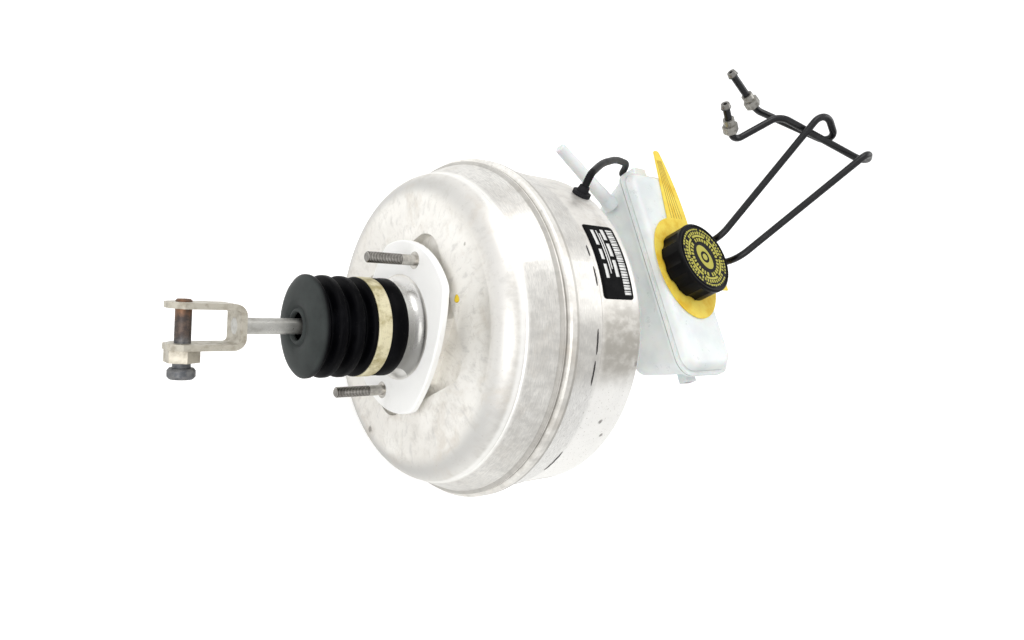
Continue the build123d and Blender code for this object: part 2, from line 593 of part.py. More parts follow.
bead_r = hook_r - 0.1
with BuildPart() as diaphragm:
    skin_x = plate_back_x - RUBBER - 0.3
    fold_x = plate_back_x + PLATE_RIM_LENGTH + 4
    wrap_r = PLATE_DISC_R + 0.3
    seat_x = bead_x + 0.1
    bead_lip_r = FRONT_R - WALL - 1.2         # the skin leaves the bead just inside the front drum
    revolve(turned((skin_x, HUB_R + 0.1), (skin_x, wrap_r), (skin_x + 2, wrap_r + RUBBER),
                   (fold_x - RUBBER, wrap_r + RUBBER), (fold_x + 6, bead_lip_r - 7), (seat_x, bead_lip_r),
                   (seat_x, bead_r), (seat_x + BEAD_THICK, bead_r), (seat_x + BEAD_THICK, bead_lip_r + 0.5),
                   (seat_x - 0.6, bead_lip_r - 2), (fold_x + 7, bead_lip_r - 9.4), (fold_x, wrap_r),
                   (skin_x + RUBBER, wrap_r), (skin_x + RUBBER, HUB_R + 0.1)), axis=Axis.X)
save(diaphragm, "diaphragm")

inner_front_x = FRONT_FACE_X - WALL
with BuildPart() as return_spring:
    add(spring_coil(hub_front_x + 0.2, FRONT_HUB_X - WALL - 0.2, SPRING_R, SPRING_WIRE, SPRING_TURNS))
save(return_spring, "return_spring")

with BuildPart() as output_rod:
    rod_head_x = hub_front_x + 3.0
    revolve(turned((rod_head_x, 0), (rod_head_x, REACTION_R), (rod_head_x + 2.8, REACTION_R),
                   (rod_head_x + 5, ROD_R), (PRIMARY_BACK_X + 6, ROD_R), (PRIMARY_BACK_X + 10.5, 3.5),
                   (PRIMARY_BACK_X + 11.8, 0)), axis=Axis.X)
save(output_rod, "output_rod")

# ---------------------------------------------------------------- front shell
flange_x = seat_x + BEAD_THICK + 0.2       # back of the clamped flange
with BuildPart() as front_shell:
    with BuildSketch(Plane.XZ) as drum:
        with BuildLine():
            edge_r = FRONT_R - FRONT_STEP
            Polyline((flange_x, FRONT_R - WALL), (flange_x, bead_r), (lip_x - 0.1, bead_r),
                     (lip_x - 0.1, FRONT_R - 0.2), (hook_front_x + 1, FRONT_R - 0.2),
                     (hook_front_x + 1.5, FRONT_R), (FRONT_STEP_X, FRONT_R), (FRONT_STEP_X + 1.5, edge_r),
                     (FRONT_FACE_X - FRONT_EDGE_R, edge_r))
            RadiusArc((FRONT_FACE_X - FRONT_EDGE_R, edge_r), (FRONT_FACE_X, edge_r - FRONT_EDGE_R),
                      FRONT_EDGE_R)
            Polyline((FRONT_FACE_X, edge_r - FRONT_EDGE_R), (FRONT_FACE_X, FRONT_DISH_R + 6),
                     (FRONT_FACE_X + FRONT_DISH, FRONT_DISH_R),
                     (FRONT_FACE_X + FRONT_DISH, FRONT_HUB_R + 6), (FRONT_HUB_X - 2, FRONT_HUB_R + 2),
                     (FRONT_HUB_X, FRONT_HUB_R), (FRONT_HUB_X, MC_SPIGOT_R + 0.1),
                     (FRONT_HUB_X - WALL, MC_SPIGOT_R + 0.1), (FRONT_HUB_X - WALL, FRONT_HUB_R - 1),
                     (FRONT_HUB_X - WALL - 2, FRONT_HUB_R), (inner_front_x + FRONT_DISH, FRONT_HUB_R + 4),
                     (inner_front_x + FRONT_DISH, FRONT_DISH_R - 1), (inner_front_x, FRONT_DISH_R + 5),
                     (inner_front_x, edge_r - FRONT_EDGE_R))
            RadiusArc((inner_front_x, edge_r - FRONT_EDGE_R), (FRONT_FACE_X - FRONT_EDGE_R, edge_r - WALL),
                      -(FRONT_EDGE_R - WALL))
            Polyline((FRONT_FACE_X - FRONT_EDGE_R, edge_r - WALL), (flange_x, FRONT_R - WALL))
        make_face()
    revolve(axis=Axis.X)
    with BuildSketch(cross_plane(FRONT_FACE_X - 6)):
        with PolarLocations(MC_STUD_PCD / 2, 2):
            Circle(STUD_R + 0.05)
        with Locations(CHECK_VALVE_AT):
            Circle(GROMMET_HOLE_R)
    extrude(amount=20, mode=Mode.SUBTRACT)
    with BuildSketch(lead_plane.offset(-12)):
        Circle(LEAD_GROMMET_HOLE_R)
    extrude(amount=24, mode=Mode.SUBTRACT)
save(front_shell, "front_shell")

with BuildPart() as front_studs:
    with BuildSketch(cross_plane(FRONT_HUB_X - WALL - 3)):
        with PolarLocations(MC_STUD_PCD / 2, 2):
            Circle(STUD_HEAD_R)
    extrude(amount=3)
    with BuildSketch(cross_plane(FRONT_HUB_X - WALL)):
        with PolarLocations(MC_STUD_PCD / 2, 2):
            Circle(STUD_R)
    extrude(amount=WALL + MC_FLANGE_THICK + NUT_HEIGHT + 4)
    chamfer(front_studs.edges().filter_by(GeomType.CIRCLE).group_by(Axis.X)[-1], 0.8)
save(front_studs, "front_studs")

with BuildPart() as front_nuts:
    with BuildSketch(cross_plane(FRONT_HUB_X + MC_FLANGE_THICK)):
        with PolarLocations(MC_STUD_PCD / 2, 2):
            RegularPolygon(radius=STEEL_NUT / 2, side_count=6, major_radius=False)
            Circle(STUD_R + 0.02, mode=Mode.SUBTRACT)
    extrude(amount=NUT_HEIGHT)
save(front_nuts, "front_nuts")

with BuildPart() as hub_seal:
    groove_x = FRONT_HUB_X - WALL - 3.0
    revolve(turned((groove_x, MC_SPIGOT_R - 2.9), (groove_x, MC_SPIGOT_R + 1.5),
                   (groove_x + 2.9, MC_SPIGOT_R + 1.5), (groove_x + 2.9, MC_SPIGOT_R - 2.9)), axis=Axis.X)
save(hub_seal, "hub_seal")

# Vacuum check valve in its grommet, on the front face.
check_face_x = FRONT_FACE_X + FRONT_DISH
check_plane = Plane(origin=(check_face_x, *CHECK_VALVE_AT), z_dir=(1, 0, 0))
with BuildPart() as check_grommet:
    with BuildSketch(check_plane.offset(-WALL - 3)):
        Circle(GROMMET_HOLE_R + 2)
    extrude(amount=3)
    with BuildSketch(check_plane.offset(-WALL)):
        Circle(GROMMET_HOLE_R - 0.05)
    extrude(amount=WALL)
    with BuildSketch(check_plane):
        Circle(GROMMET_HOLE_R + 3)
    extrude(amount=3.5)
    fillet(check_grommet.edges().filter_by(GeomType.CIRCLE).group_by(Axis.X)[-1], 1.2)
    with BuildSketch(check_plane.offset(-10)):
        Circle(CHECK_STEM_R + SLIDE_GAP)
    extrude(amount=20, mode=Mode.SUBTRACT)
save(check_grommet, "check_grommet")

elbow_height = 20.0
with BuildPart() as check_valve:
    with BuildSketch(check_plane.offset(-WALL - 6)):
        Circle(CHECK_STEM_R)
    extrude(amount=WALL + 6 + 4)
    with BuildSketch(check_plane.offset(3.6)):
        Circle(GROMMET_HOLE_R + 1)
    extrude(amount=7)
    with BuildSketch(check_plane.offset(10.6)):
        Circle(CHECK_STEM_R)
    extrude(amount=elbow_height - 10.6 + CHECK_STEM_R)
    elbow_plane = Plane(origin=(check_face_x + elbow_height, *CHECK_VALVE_AT), z_dir=CHECK_HOSE_DIRECTION)
    with BuildSketch(elbow_plane):
        Circle(CHECK_HOSE_R - 0.8)
    extrude(amount=34)
    for barb in (20, 28):
        with BuildSketch(elbow_plane.offset(barb)):
            Circle(CHECK_HOSE_R)
        extrude(amount=4, taper=11)
    with BuildSketch(elbow_plane.offset(2)):
        Circle(CHECK_HOSE_R - 3)
    extrude(amount=40, mode=Mode.SUBTRACT)
    with BuildSketch(check_plane.offset(-WALL - 7)):
        Circle(CHECK_STEM_R - 2.5)
    extrude(amount=WALL + 7 + elbow_height, mode=Mode.SUBTRACT)
save(check_valve, "check_valve")

# ---------------------------------------------------------------- master cylinder
pin_x = sum(PORT_XS) / 2                   # the reservoir's retaining pin, midway between the ports
with BuildPart() as master_cylinder:
    with BuildSketch(cross_plane(FRONT_HUB_X)) as flange_sketch:
        with PolarLocations(MC_STUD_PCD / 2, 2):
            Circle(MC_LUG_R)
        Circle(MC_FLANGE_R)
        make_hull()
    extrude(amount=MC_FLANGE_THICK)
    fillet(master_cylinder.edges().group_by(Axis.X)[-1], 2)
    revolve(turned((MC_PLUNGE_X, 0), (MC_PLUNGE_X, MC_R - 1.5), (FRONT_HUB_X - WALL - 3.1, MC_R - 1.5),
                   (FRONT_HUB_X - WALL - 3.1, MC_SPIGOT_R - 3), (FRONT_HUB_X - WALL, MC_SPIGOT_R - 3),
                   (FRONT_HUB_X - WALL, MC_SPIGOT_R), (FRONT_HUB_X + MC_FLANGE_THICK + 3, MC_SPIGOT_R),
                   (FRONT_HUB_X + MC_FLANGE_THICK + 14, MC_R), (MC_END_X - 16, MC_R),
                   (MC_END_X - 13, MC_R - 3), (MC_END_X - 3, MC_R - 3), (MC_END_X, MC_R - 6),
                   (MC_END_X, 0)), axis=Axis.X)
    # Reservoir ports along the top, and outlet bosses on the left.
    for port_x in PORT_XS:
        with BuildSketch(Plane.XY.offset(MC_R - 6)):
            with Locations((port_x, 0)):
                Circle(PORT_BOSS_R)
        extrude(amount=PORT_TOP_Z - MC_R + 6)
    for outlet_x in OUTLET_XS:
        with BuildSketch(Plane.XZ.offset(-8)):
            with Locations((outlet_x, 0)):
                Circle(OUTLET_BOSS_R)
        extrude(amount=-(OUTLET_FACE_Y - 8))
    with BuildSketch(Plane.XY.offset(-MC_R + 6)):
        with Locations((PORT_XS[1] - 18, 0)):
            Circle(7)
    extrude(amount=-10)
    with BuildSketch(Plane.XY.offset(MC_R - 8)):
        with Locations((pin_x, 0)):
            RectangleRounded(10, 2 * PIN_LUG_HALF, 2)
    extrude(amount=PIN_LUG_TOP_Z - MC_R + 8)
    # Bore, port counterbores, outlets and the reservoir pin's hole.
    with BuildSketch(cross_plane(MC_PLUNGE_X - 1)):
        Circle(MC_BORE_R)
    extrude(amount=BORE_END_X - MC_PLUNGE_X + 1, mode=Mode.SUBTRACT)
    with BuildSketch(cross_plane(FRONT_HUB_X - 1)):
        with PolarLocations(MC_STUD_PCD / 2, 2):
            Circle(STUD_R + 0.1)
    extrude(amount=MC_FLANGE_THICK + 2, mode=Mode.SUBTRACT)
    for port_x in PORT_XS:
        with BuildSketch(Plane.XY.offset(PORT_FLOOR_Z)):
            with Locations((port_x, 0)):
                Circle(PORT_SOCKET_R)
        extrude(amount=20, mode=Mode.SUBTRACT)
        with BuildSketch(Plane.XY):
            with Locations((port_x, 0)):
                Circle(2.5)
        extrude(amount=20, mode=Mode.SUBTRACT)
    for outlet_x in OUTLET_XS:
        with BuildSketch(Plane.XZ.offset(-OUTLET_FACE_Y - 1)):
            with Locations((outlet_x, 0)):
                Circle(OUTLET_THREAD_R)
        extrude(amount=OUTLET_THREAD_DEPTH + 1, mode=Mode.SUBTRACT)
        with BuildSketch(Plane.XZ.offset(-OUTLET_FACE_Y - 1)):
            with Locations((outlet_x, 0)):
                Circle(2.0)
        extrude(amount=OUTLET_FACE_Y, mode=Mode.SUBTRACT)
    with BuildSketch(Plane.XZ):
        with Locations((pin_x, RETAINING_PIN_Z)):
            Circle(RETAINING_PIN_R + SLIDE_GAP)
    extrude(amount=2 * PIN_LUG_HALF, both=True, mode=Mode.SUBTRACT)
save(master_cylinder, "master_cylinder")


def piston_section(back_x, length, socket_depth, socket_r):
    """Master cylinder piston with two seal grooves and a socket at its back."""
    body_r = MC_BORE_R - SLIDE_GAP
    groove_r = MC_BORE_R - 3.5
    front_x = back_x + length
    return turned((back_x + socket_depth, 0), (back_x + socket_depth - 1.5, socket_r), (back_x, socket_r),
                  (back_x, body_r), (front_x - 22, body_r), (front_x - 22, groove_r),
                  (front_x - 17, groove_r), (front_x - 17, body_r), (front_x - 10, body_r),
                  (front_x - 10, groove_r), (front_x - 5, groove_r), (front_x - 5, body_r - 1),
                  (front_x, body_r - 3), (front_x, 0))


with BuildPart() as primary_piston:
    revolve(piston_section(PRIMARY_BACK_X, PRIMARY_LENGTH, 12.0, ROD_R + 1.5), axis=Axis.X)
save(primary_piston, "primary_piston")

with BuildPart() as secondary_piston:
    revolve(piston_section(SECONDARY_BACK_X, SECONDARY_LENGTH, 6.0, 5.0), axis=Axis.X)
save(secondary_piston, "secondary_piston")

for ring_name, ring_x, ring_length in (("primary_cups", PRIMARY_BACK_X, PRIMARY_LENGTH),
                                       ("secondary_cups", SECONDARY_BACK_X, SECONDARY_LENGTH)):
    with BuildPart() as cups:
        front = ring_x + ring_length
        for groove in (front - 22, front - 10):
            revolve(turned((groove + 0.3, MC_BORE_R - 3.45), (groove + 0.3, MC_BORE_R - 0.06),
                           (groove + 4.2, MC_BORE_R - 0.06), (groove + 3.4, MC_BORE_R - 3.45)),
                    axis=Axis.X)
    save(cups, ring_name)

with BuildPart() as primary_spring:
    add(spring_coil(PRIMARY_BACK_X + PRIMARY_LENGTH + 0.2, SECONDARY_BACK_X - 0.2, 9.0, 2.2, 5))
save(primary_spring, "primary_spring")

with BuildPart() as secondary_spring:
    add(spring_coil(SECONDARY_BACK_X + SECONDARY_LENGTH + 0.2, BORE_END_X - 0.2, 9.0, 2.2, 5))
save(secondary_spring, "secondary_spring")

# ---------------------------------------------------------------- reservoir
tank_mid_x = sum(TANK_X) / 2
tank_mid_y = sum(TANK_Y) / 2
tank_dx = TANK_X[1] - TANK_X[0]
tank_dy = TANK_Y[1] - TANK_Y[0]
lip_bottom_z = SEAM_Z - SEAM_THICK
tank_centre = Plane(origin=(tank_mid_x, tank_mid_y, 0))


def tank_section(height, inset_x, inset_y, corner):
    """Rounded rectangle of the tank at a height, drawn in from the seam's walls."""
    with BuildSketch(tank_centre.offset(height)) as section:
        RectangleRounded(tank_dx - 2 * inset_x, tank_dy - 2 * inset_y, corner)
    return section.sketch


with BuildPart() as reservoir_lower:
    loft([tank_section(TANK_FLOOR_Z, 6, TANK_TAPER, 12), tank_section(lip_bottom_z, 0, 0, 14)])
    bottom_edges = reservoir_lower.faces().sort_by(Axis.Z)[0].edges()
    fillet(bottom_edges, 5)
    add(tank_section(lip_bottom_z, -SEAM_LIP, -SEAM_LIP, 16))
    extrude(amount=SEAM_THICK)
    # Pads on the two ends, under the level switch's socket and the lead's plug.
    for pad_y, pad_at, pad_size, inwards in ((SOCKET_Y, SOCKET_AT, SOCKET_SIZE, -1),
                                             (PLUG_Y, LEAD_PLUG, PLUG_SIZE, 1)):
        with BuildSketch(Plane.XZ.offset(-pad_y)):
            with Locations(pad_at):
                RectangleRounded(*pad_size, 2.5)
        extrude(amount=inwards * PAD_DEPTH)
    loft([tank_section(TANK_FLOOR_Z + TANK_WALL, 6 + TANK_WALL, TANK_TAPER + TANK_WALL, 9),
          tank_section(SEAM_Z + 0.01, TANK_WALL, TANK_WALL, 12)], mode=Mode.SUBTRACT)
    # Baffle between the two circuits, open above and at its ends.
    with BuildSketch(Plane.YZ.offset(pin_x)):
        with Locations((tank_mid_y, TANK_FLOOR_Z + 16.6)):
            Rectangle(tank_dy - 2 * TANK_TAPER - 3, 30)
    extrude(amount=TANK_WALL / 2, both=True)
    # Spigots into the master cylinder, and ears for the retaining pin.
    for port_x in PORT_XS:
        with BuildSketch(Plane.XY.offset(PORT_FLOOR_Z + 2)):
            with Locations((port_x, 0)):
                Circle(SPIGOT_R)
        extrude(amount=TANK_FLOOR_Z - PORT_FLOOR_Z - 1)
        with BuildSketch(Plane.XY.offset(PORT_FLOOR_Z + 1)):
            with Locations((port_x, 0)):
                Circle(SPIGOT_R - 2)
        extrude(amount=TANK_FLOOR_Z - PORT_FLOOR_Z + 3, mode=Mode.SUBTRACT)
    ear_y = PIN_LUG_HALF + LOOSE_GAP
    for side in (1, -1):
        with BuildSketch(Plane.XZ.offset(-side * ear_y)):
            with Locations((pin_x, RETAINING_PIN_Z)):
                Circle(5)
            with Locations((pin_x, (RETAINING_PIN_Z + TANK_FLOOR_Z + 1) / 2)):
                Rectangle(10, TANK_FLOOR_Z + 1 - RETAINING_PIN_Z)
        extrude(amount=-side * 4)
    with BuildSketch(Plane.XZ):
        with Locations((pin_x, RETAINING_PIN_Z)):
            Circle(RETAINING_PIN_R + SLIDE_GAP)
    extrude(amount=2 * ear_y, both=True, mode=Mode.SUBTRACT)
    # Spout for the clutch line, with its root on the rear wall.
    with BuildSketch(Plane(origin=SPOUT_ROOT, z_dir=SPOUT_DIRECTION)):
        Circle(SPOUT_ROOT_R)
    extrude(amount=SPOUT_ROOT_LENGTH, taper=8)
save(reservoir_lower, "reservoir_lower")

with BuildPart() as reservoir_upper:
    add(tank_section(SEAM_Z, -SEAM_LIP, -SEAM_LIP, 16))
    extrude(amount=SEAM_THICK)
    loft([tank_section(SEAM_Z, 0, 0, 14), tank_section(TANK_TOP_Z, 3, 4, 14)])
    fillet(reservoir_upper.faces().sort_by(Axis.Z)[-1].edges(), TANK_CROWN)
    with BuildSketch(Plane.XY.offset(SEAM_Z + SEAM_THICK)):
        with Locations((NECK_X, NECK_Y)):
            Circle(FILLER_R)
    extrude(amount=FILLER_TOP_Z - SEAM_Z - SEAM_THICK)
    # Bayonet-style thread ribs.
    for turn in range(2):
        with BuildSketch(Plane.XY.offset(CAP_BASE_Z + 4 + turn * 5)):
            with Locations((NECK_X, NECK_Y)):
                Circle(FILLER_R + 1.4)
        extrude(amount=1.6)
    loft([tank_section(SEAM_Z - 0.01, TANK_WALL, TANK_WALL, 12),
          tank_section(TANK_TOP_Z - TANK_WALL, TANK_CROWN + TANK_WALL, TANK_CROWN + TANK_WALL, 11)],
         mode=Mode.SUBTRACT)
    with BuildSketch(Plane.XY.offset(TANK_TOP_Z - 4)):
        with Locations((NECK_X, NECK_Y)):
            Circle(FILLER_R - 2.5)
    extrude(amount=30, mode=Mode.SUBTRACT)
save(reservoir_upper, "reservoir_upper")

with BuildPart() as reservoir_grommets:
    for port_x in PORT_XS:
        with BuildSketch(Plane.XY.offset(PORT_FLOOR_Z)):
            with Locations((port_x, 0)):
                Circle(PORT_SOCKET_R - 0.05)
                Circle(SPIGOT_R + 0.05, mode=Mode.SUBTRACT)
        extrude(amount=PORT_TOP_Z - PORT_FLOOR_Z)
        with BuildSketch(Plane.XY.offset(PORT_TOP_Z)):
            with Locations((port_x, 0)):
                Circle(PORT_BOSS_R - 0.5)
                Circle(SPIGOT_R + 0.05, mode=Mode.SUBTRACT)
        extrude(amount=TANK_FLOOR_Z - PORT_TOP_Z - 0.2)
save(reservoir_grommets, "reservoir_grommets")

with BuildPart() as retaining_pin:
    pin_half = PIN_LUG_HALF + LOOSE_GAP + 6
    with BuildSketch(Plane.XZ.offset(-pin_half)):
        with Locations((pin_x, RETAINING_PIN_Z)):
            Circle(RETAINING_PIN_R)
    extrude(amount=2 * pin_half)
    chamfer(retaining_pin.edges().filter_by(GeomType.CIRCLE), 0.5)
save(retaining_pin, "retaining_pin")

with BuildPart() as clutch_spout:
    spout_plane = Plane(origin=SPOUT_ROOT, z_dir=SPOUT_DIRECTION)
    spout_run = SPOUT_LENGTH - SPOUT_ROOT_LENGTH
    with BuildSketch(spout_plane.offset(SPOUT_ROOT_LENGTH + 0.1)):
        Circle(SPOUT_R + spout_run * sin(radians(SPOUT_TAPER)))
    extrude(amount=spout_run, taper=SPOUT_TAPER)
    fillet(clutch_spout.faces().sort_by(Axis(origin=SPOUT_ROOT, direction=SPOUT_DIRECTION))[-1].edges(), 1.5)
save(clutch_spout, "clutch_spout")

# ---------------------------------------------------------------- filler cap, its seal, tag and float
with BuildPart() as reservoir_cap:
    with BuildSketch(Plane.XY.offset(CAP_BASE_Z)):
        with Locations((NECK_X, NECK_Y)):
            Circle(CAP_R)
    extrude(amount=CAP_TOP_Z - CAP_BASE_Z)
    # Finger flutes: shallow flats between ten ribs.
    with BuildSketch(Plane.XY.offset(CAP_BASE_Z - 1)):
        with Locations((NECK_X, NECK_Y)):
            with PolarLocations(CAP_R + 10.2, CAP_FLUTES):
                Circle(12)
    extrude(amount=CAP_TOP_Z - CAP_BASE_Z - 2.5, mode=Mode.SUBTRACT)
    chamfer(reservoir_cap.faces().sort_by(Axis.Z)[-1].outer_wire().edges(), 1.2)
    with BuildSketch(Plane.XY.offset(CAP_TOP_Z - 0.7)):
        with Locations((NECK_X, NECK_Y)):
            Circle(CAP_R - 2.4)
            Circle(CAP_R - 4.0, mode=Mode.SUBTRACT)
            Circle(CAP_R - 13.5)
            Circle(CAP_R - 14.8, mode=Mode.SUBTRACT)
    extrude(amount=1, mode=Mode.SUBTRACT)
    with BuildSketch(Plane.XY.offset(CAP_BASE_Z - 1)):
        with Locations((NECK_X, NECK_Y)):
            Circle(FILLER_R + 1.7)
    extrude(amount=FILLER_TOP_Z + 1.6 - CAP_BASE_Z + 1, mode=Mode.SUBTRACT)
save(reservoir_cap, "reservoir_cap")

with BuildPart() as cap_seal:
    with BuildSketch(Plane.XY.offset(FILLER_TOP_Z + 0.05)):
        with Locations((NECK_X, NECK_Y)):
            Circle(FILLER_R + 1.2)
    extrude(amount=1.5)
    with BuildSketch(Plane.XY.offset(FILLER_TOP_Z - 9)):
        with Locations((NECK_X, NECK_Y)):
            Circle(FILLER_R - 3.2)
    extrude(amount=9.1)
    with BuildSketch(Plane.XY.offset(FILLER_TOP_Z - 7.5)):
        with Locations((NECK_X, NECK_Y)):
            Circle(FILLER_R - 5.2)
    extrude(amount=10, mode=Mode.SUBTRACT)
save(cap_seal, "cap_seal")

with BuildPart() as service_tag:
    blade_left, tip_left, tip_right, blade_right = [(NECK_X + dx, NECK_Y + dy) for dx, dy in TAG_BLADE]
    blade_bow = ((tip_right[0] + blade_right[0]) / 2 + TAG_BLADE_BOW, (tip_right[1] + blade_right[1]) / 2)
    with BuildSketch(Plane.XY.offset(TANK_TOP_Z + 0.4)):
        with Locations((NECK_X, NECK_Y)):
            Ellipse(*TAG_HALF)
        with BuildLine():
            Polyline(blade_right, blade_left, tip_left, tip_right)
            ThreePointArc(tip_right, blade_bow, blade_right)
        make_face()
        with Locations((NECK_X + TAG_TAB[0], NECK_Y + TAG_TAB[1])):
            Rectangle(*TAG_TAB_SIZE)
    extrude(amount=TAG_THICK)
    fillet(service_tag.edges().filter_by(Axis.Z).group_by(Axis.Y)[-1], 3.0)
    with BuildSketch(Plane.XY.offset(TANK_TOP_Z)):
        with Locations((NECK_X, NECK_Y)):
            Circle(FILLER_R + 0.1)
    extrude(amount=5, mode=Mode.SUBTRACT)
save(service_tag, "service_tag")

with BuildPart() as level_float:
    with BuildSketch(Plane.XY.offset(FLOAT_Z)):
        with Locations(FLOAT_AT):
            RectangleRounded(20, 24, 5)
            Circle(FLOAT_STEM_R + 0.6, mode=Mode.SUBTRACT)
    extrude(amount=12)
save(level_float, "level_float")

with BuildPart() as level_switch:
    # Guide stem up from the floor, and the plug socket under the right end.
    with BuildSketch(Plane.XY.offset(TANK_FLOOR_Z + TANK_WALL)):
        with Locations(FLOAT_AT):
            Circle(FLOAT_STEM_R)
    extrude(amount=FLOAT_STEM_HEIGHT)
save(level_switch, "level_switch")

with BuildPart() as switch_socket:
    with BuildSketch(Plane.XZ.offset(-SOCKET_Y)):
        with Locations(SOCKET_AT):
            RectangleRounded(*SOCKET_SIZE, 2)
    extrude(amount=SOCKET_LENGTH)
    with BuildSketch(Plane.XZ.offset(-SOCKET_Y + 1.6)):
        with Locations(SOCKET_AT):
            RectangleRounded(SOCKET_SIZE[0] - 3, SOCKET_SIZE[1] - 3, 1)
    extrude(amount=SOCKET_LENGTH, mode=Mode.SUBTRACT)
    with BuildSketch(Plane.XZ.offset(-SOCKET_Y + 1)):
        with Locations(SOCKET_AT):
            with GridLocations(6, 0, 2, 1):
                Rectangle(0.9, 2.6)
    extrude(amount=SOCKET_LENGTH - 2)
save(switch_socket, "switch_socket")

# ---------------------------------------------------------------- travel sensor lead
with BuildPart() as lead_grommet:
    with BuildSketch(lead_plane.offset(0.1)):
        Circle(LEAD_GROMMET_HOLE_R + 2.5)
    extrude(amount=3)
    with BuildSketch(lead_plane.offset(-WALL - 1)):
        Circle(LEAD_GROMMET_HOLE_R - 0.05)
    extrude(amount=WALL + 1.2)
    with BuildSketch(lead_plane.offset(3)):
        Circle(LEAD_GROMMET_HOLE_R)
    extrude(amount=5, taper=10)
save(lead_grommet, "lead_grommet")

collar_y = PLUG_Y + 6.6                    # clear of the seam's lip
with BuildPart() as lead_plug:
    with BuildSketch(Plane.XZ.offset(-PLUG_Y - 0.1)):
        with Locations(LEAD_PLUG):
            RectangleRounded(*PLUG_SIZE, 2.5)
    extrude(amount=-PLUG_THICK)
    with BuildSketch(Plane.YZ.offset(LEAD_PLUG[0] - PLUG_SIZE[0] / 2)):
        with Locations((collar_y, LEAD_PLUG[1])):
            Circle(LEAD_R + 1.8)
    extrude(amount=-PLUG_COLLAR_LENGTH, taper=10)
save(lead_plug, "lead_plug")

lead_start = lead_plane.offset(8.1).origin
lead_end = Vector(LEAD_PLUG[0] - PLUG_SIZE[0] / 2 - PLUG_COLLAR_LENGTH - 0.1, collar_y, LEAD_PLUG[1])
lead_points = [lead_start, lead_plane.offset(19).origin, *[Vector(*p) for p in LEAD_ROUTE],
               lead_end - Vector(10, 0, 0), lead_end]


def tube_along(points, bends, radius):
    """Round tube along straight runs joined by tangent arcs."""
    with BuildPart() as tube:
        with BuildLine() as path:
            FilletPolyline(*points, radius=list(bends))
        with BuildSketch(Plane(origin=path.line @ 0, z_dir=path.line % 0)):
            Circle(radius)
        sweep(path=path.line)
    return tube.part


def natural_bends(points):
    """Largest arc at each corner that leaves both runs a tenth of their length straight."""
    bends = []
    for before, corner, after in zip(points, points[1:], points[2:]):
        run_in, run_out = corner - before, after - corner
        turn = radians(run_in.get_angle(run_out))
        bends.append(0.45 * min(run_in.length, run_out.length) / (sin(turn / 2) / cos(turn / 2)))
    return bends


lead_bends = natural_bends(lead_points)
print("lead bend radii:", [round(r, 1) for r in lead_bends])
with BuildPart() as sensor_lead:
    add(tube_along(lead_points, lead_bends, LEAD_R))
save(sensor_lead, "sensor_lead")

# ---------------------------------------------------------------- brake pipes and their nuts
for name, outlet_x, route, bends, set_back in zip(("pipe_a", "pipe_b"), OUTLET_XS, (ROUTE_A, ROUTE_B),
                                                  (BENDS_A, BENDS_B), NUT_SET_BACKS):
    points = [Vector(outlet_x, OUTLET_FACE_Y - OUTLET_THREAD_DEPTH + 1, 0)] + [Vector(*p) for p in route]
    end_direction = (points[-1] - points[-2]).normalized()
    flare_plane = Plane(origin=points[-1], z_dir=end_direction)
    with BuildPart() as pipe:
        add(tube_along(points, bends, PIPE_R))
        with BuildSketch(flare_plane.offset(-4)):
            Circle(FLARE_R)
        extrude(amount=4.2, taper=12)
        with BuildSketch(flare_plane.offset(-12)):
            Circle(PIPE_BORE_R)
        extrude(amount=14, mode=Mode.SUBTRACT)
    save(pipe, name)
    with BuildPart() as free_nut:
        with BuildSketch(flare_plane.offset(-set_back - NUT_LENGTH)):
            RegularPolygon(radius=NUT_AF / 2, side_count=6, major_radius=False)
        extrude(amount=NUT_LENGTH * 0.55)
        with BuildSketch(flare_plane.offset(-set_back - NUT_LENGTH * 0.45)):
            Circle(NUT_AF / 2 - 1)
        extrude(amount=NUT_LENGTH * 0.45)
        with BuildSketch(flare_plane.offset(-set_back - NUT_LENGTH - 1)):
            Circle(PIPE_R + SLIDE_GAP)
        extrude(amount=NUT_LENGTH + 2, mode=Mode.SUBTRACT)
    save(free_nut, f"{name}_free_nut")

with BuildPart() as outlet_nuts:
    for outlet_x in OUTLET_XS:
        with BuildSketch(Plane.XZ.offset(-OUTLET_FACE_Y + 9)):
            with Locations((outlet_x, 0)):
                Circle(OUTLET_THREAD_R - 0.05)
        extrude(amount=-9)
        with BuildSketch(Plane.XZ.offset(-OUTLET_FACE_Y)):
            with Locations((outlet_x, 0)):
                RegularPolygon(radius=NUT_AF / 2, side_count=6, major_radius=False)
        extrude(amount=-7)
        with BuildSketch(Plane.XZ.offset(-OUTLET_FACE_Y + 10)):
            with Locations((outlet_x, 0)):
                Circle(PIPE_R + SLIDE_GAP)
        extrude(amount=-18, mode=Mode.SUBTRACT)
save(outlet_nuts, "outlet_nuts")
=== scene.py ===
"""Vacuum brake booster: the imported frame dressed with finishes, prints, labels and its soft boot."""
import random
from math import cos, pi, radians, sin, sqrt

import bmesh
import bpy
from mathutils import Matrix, Vector


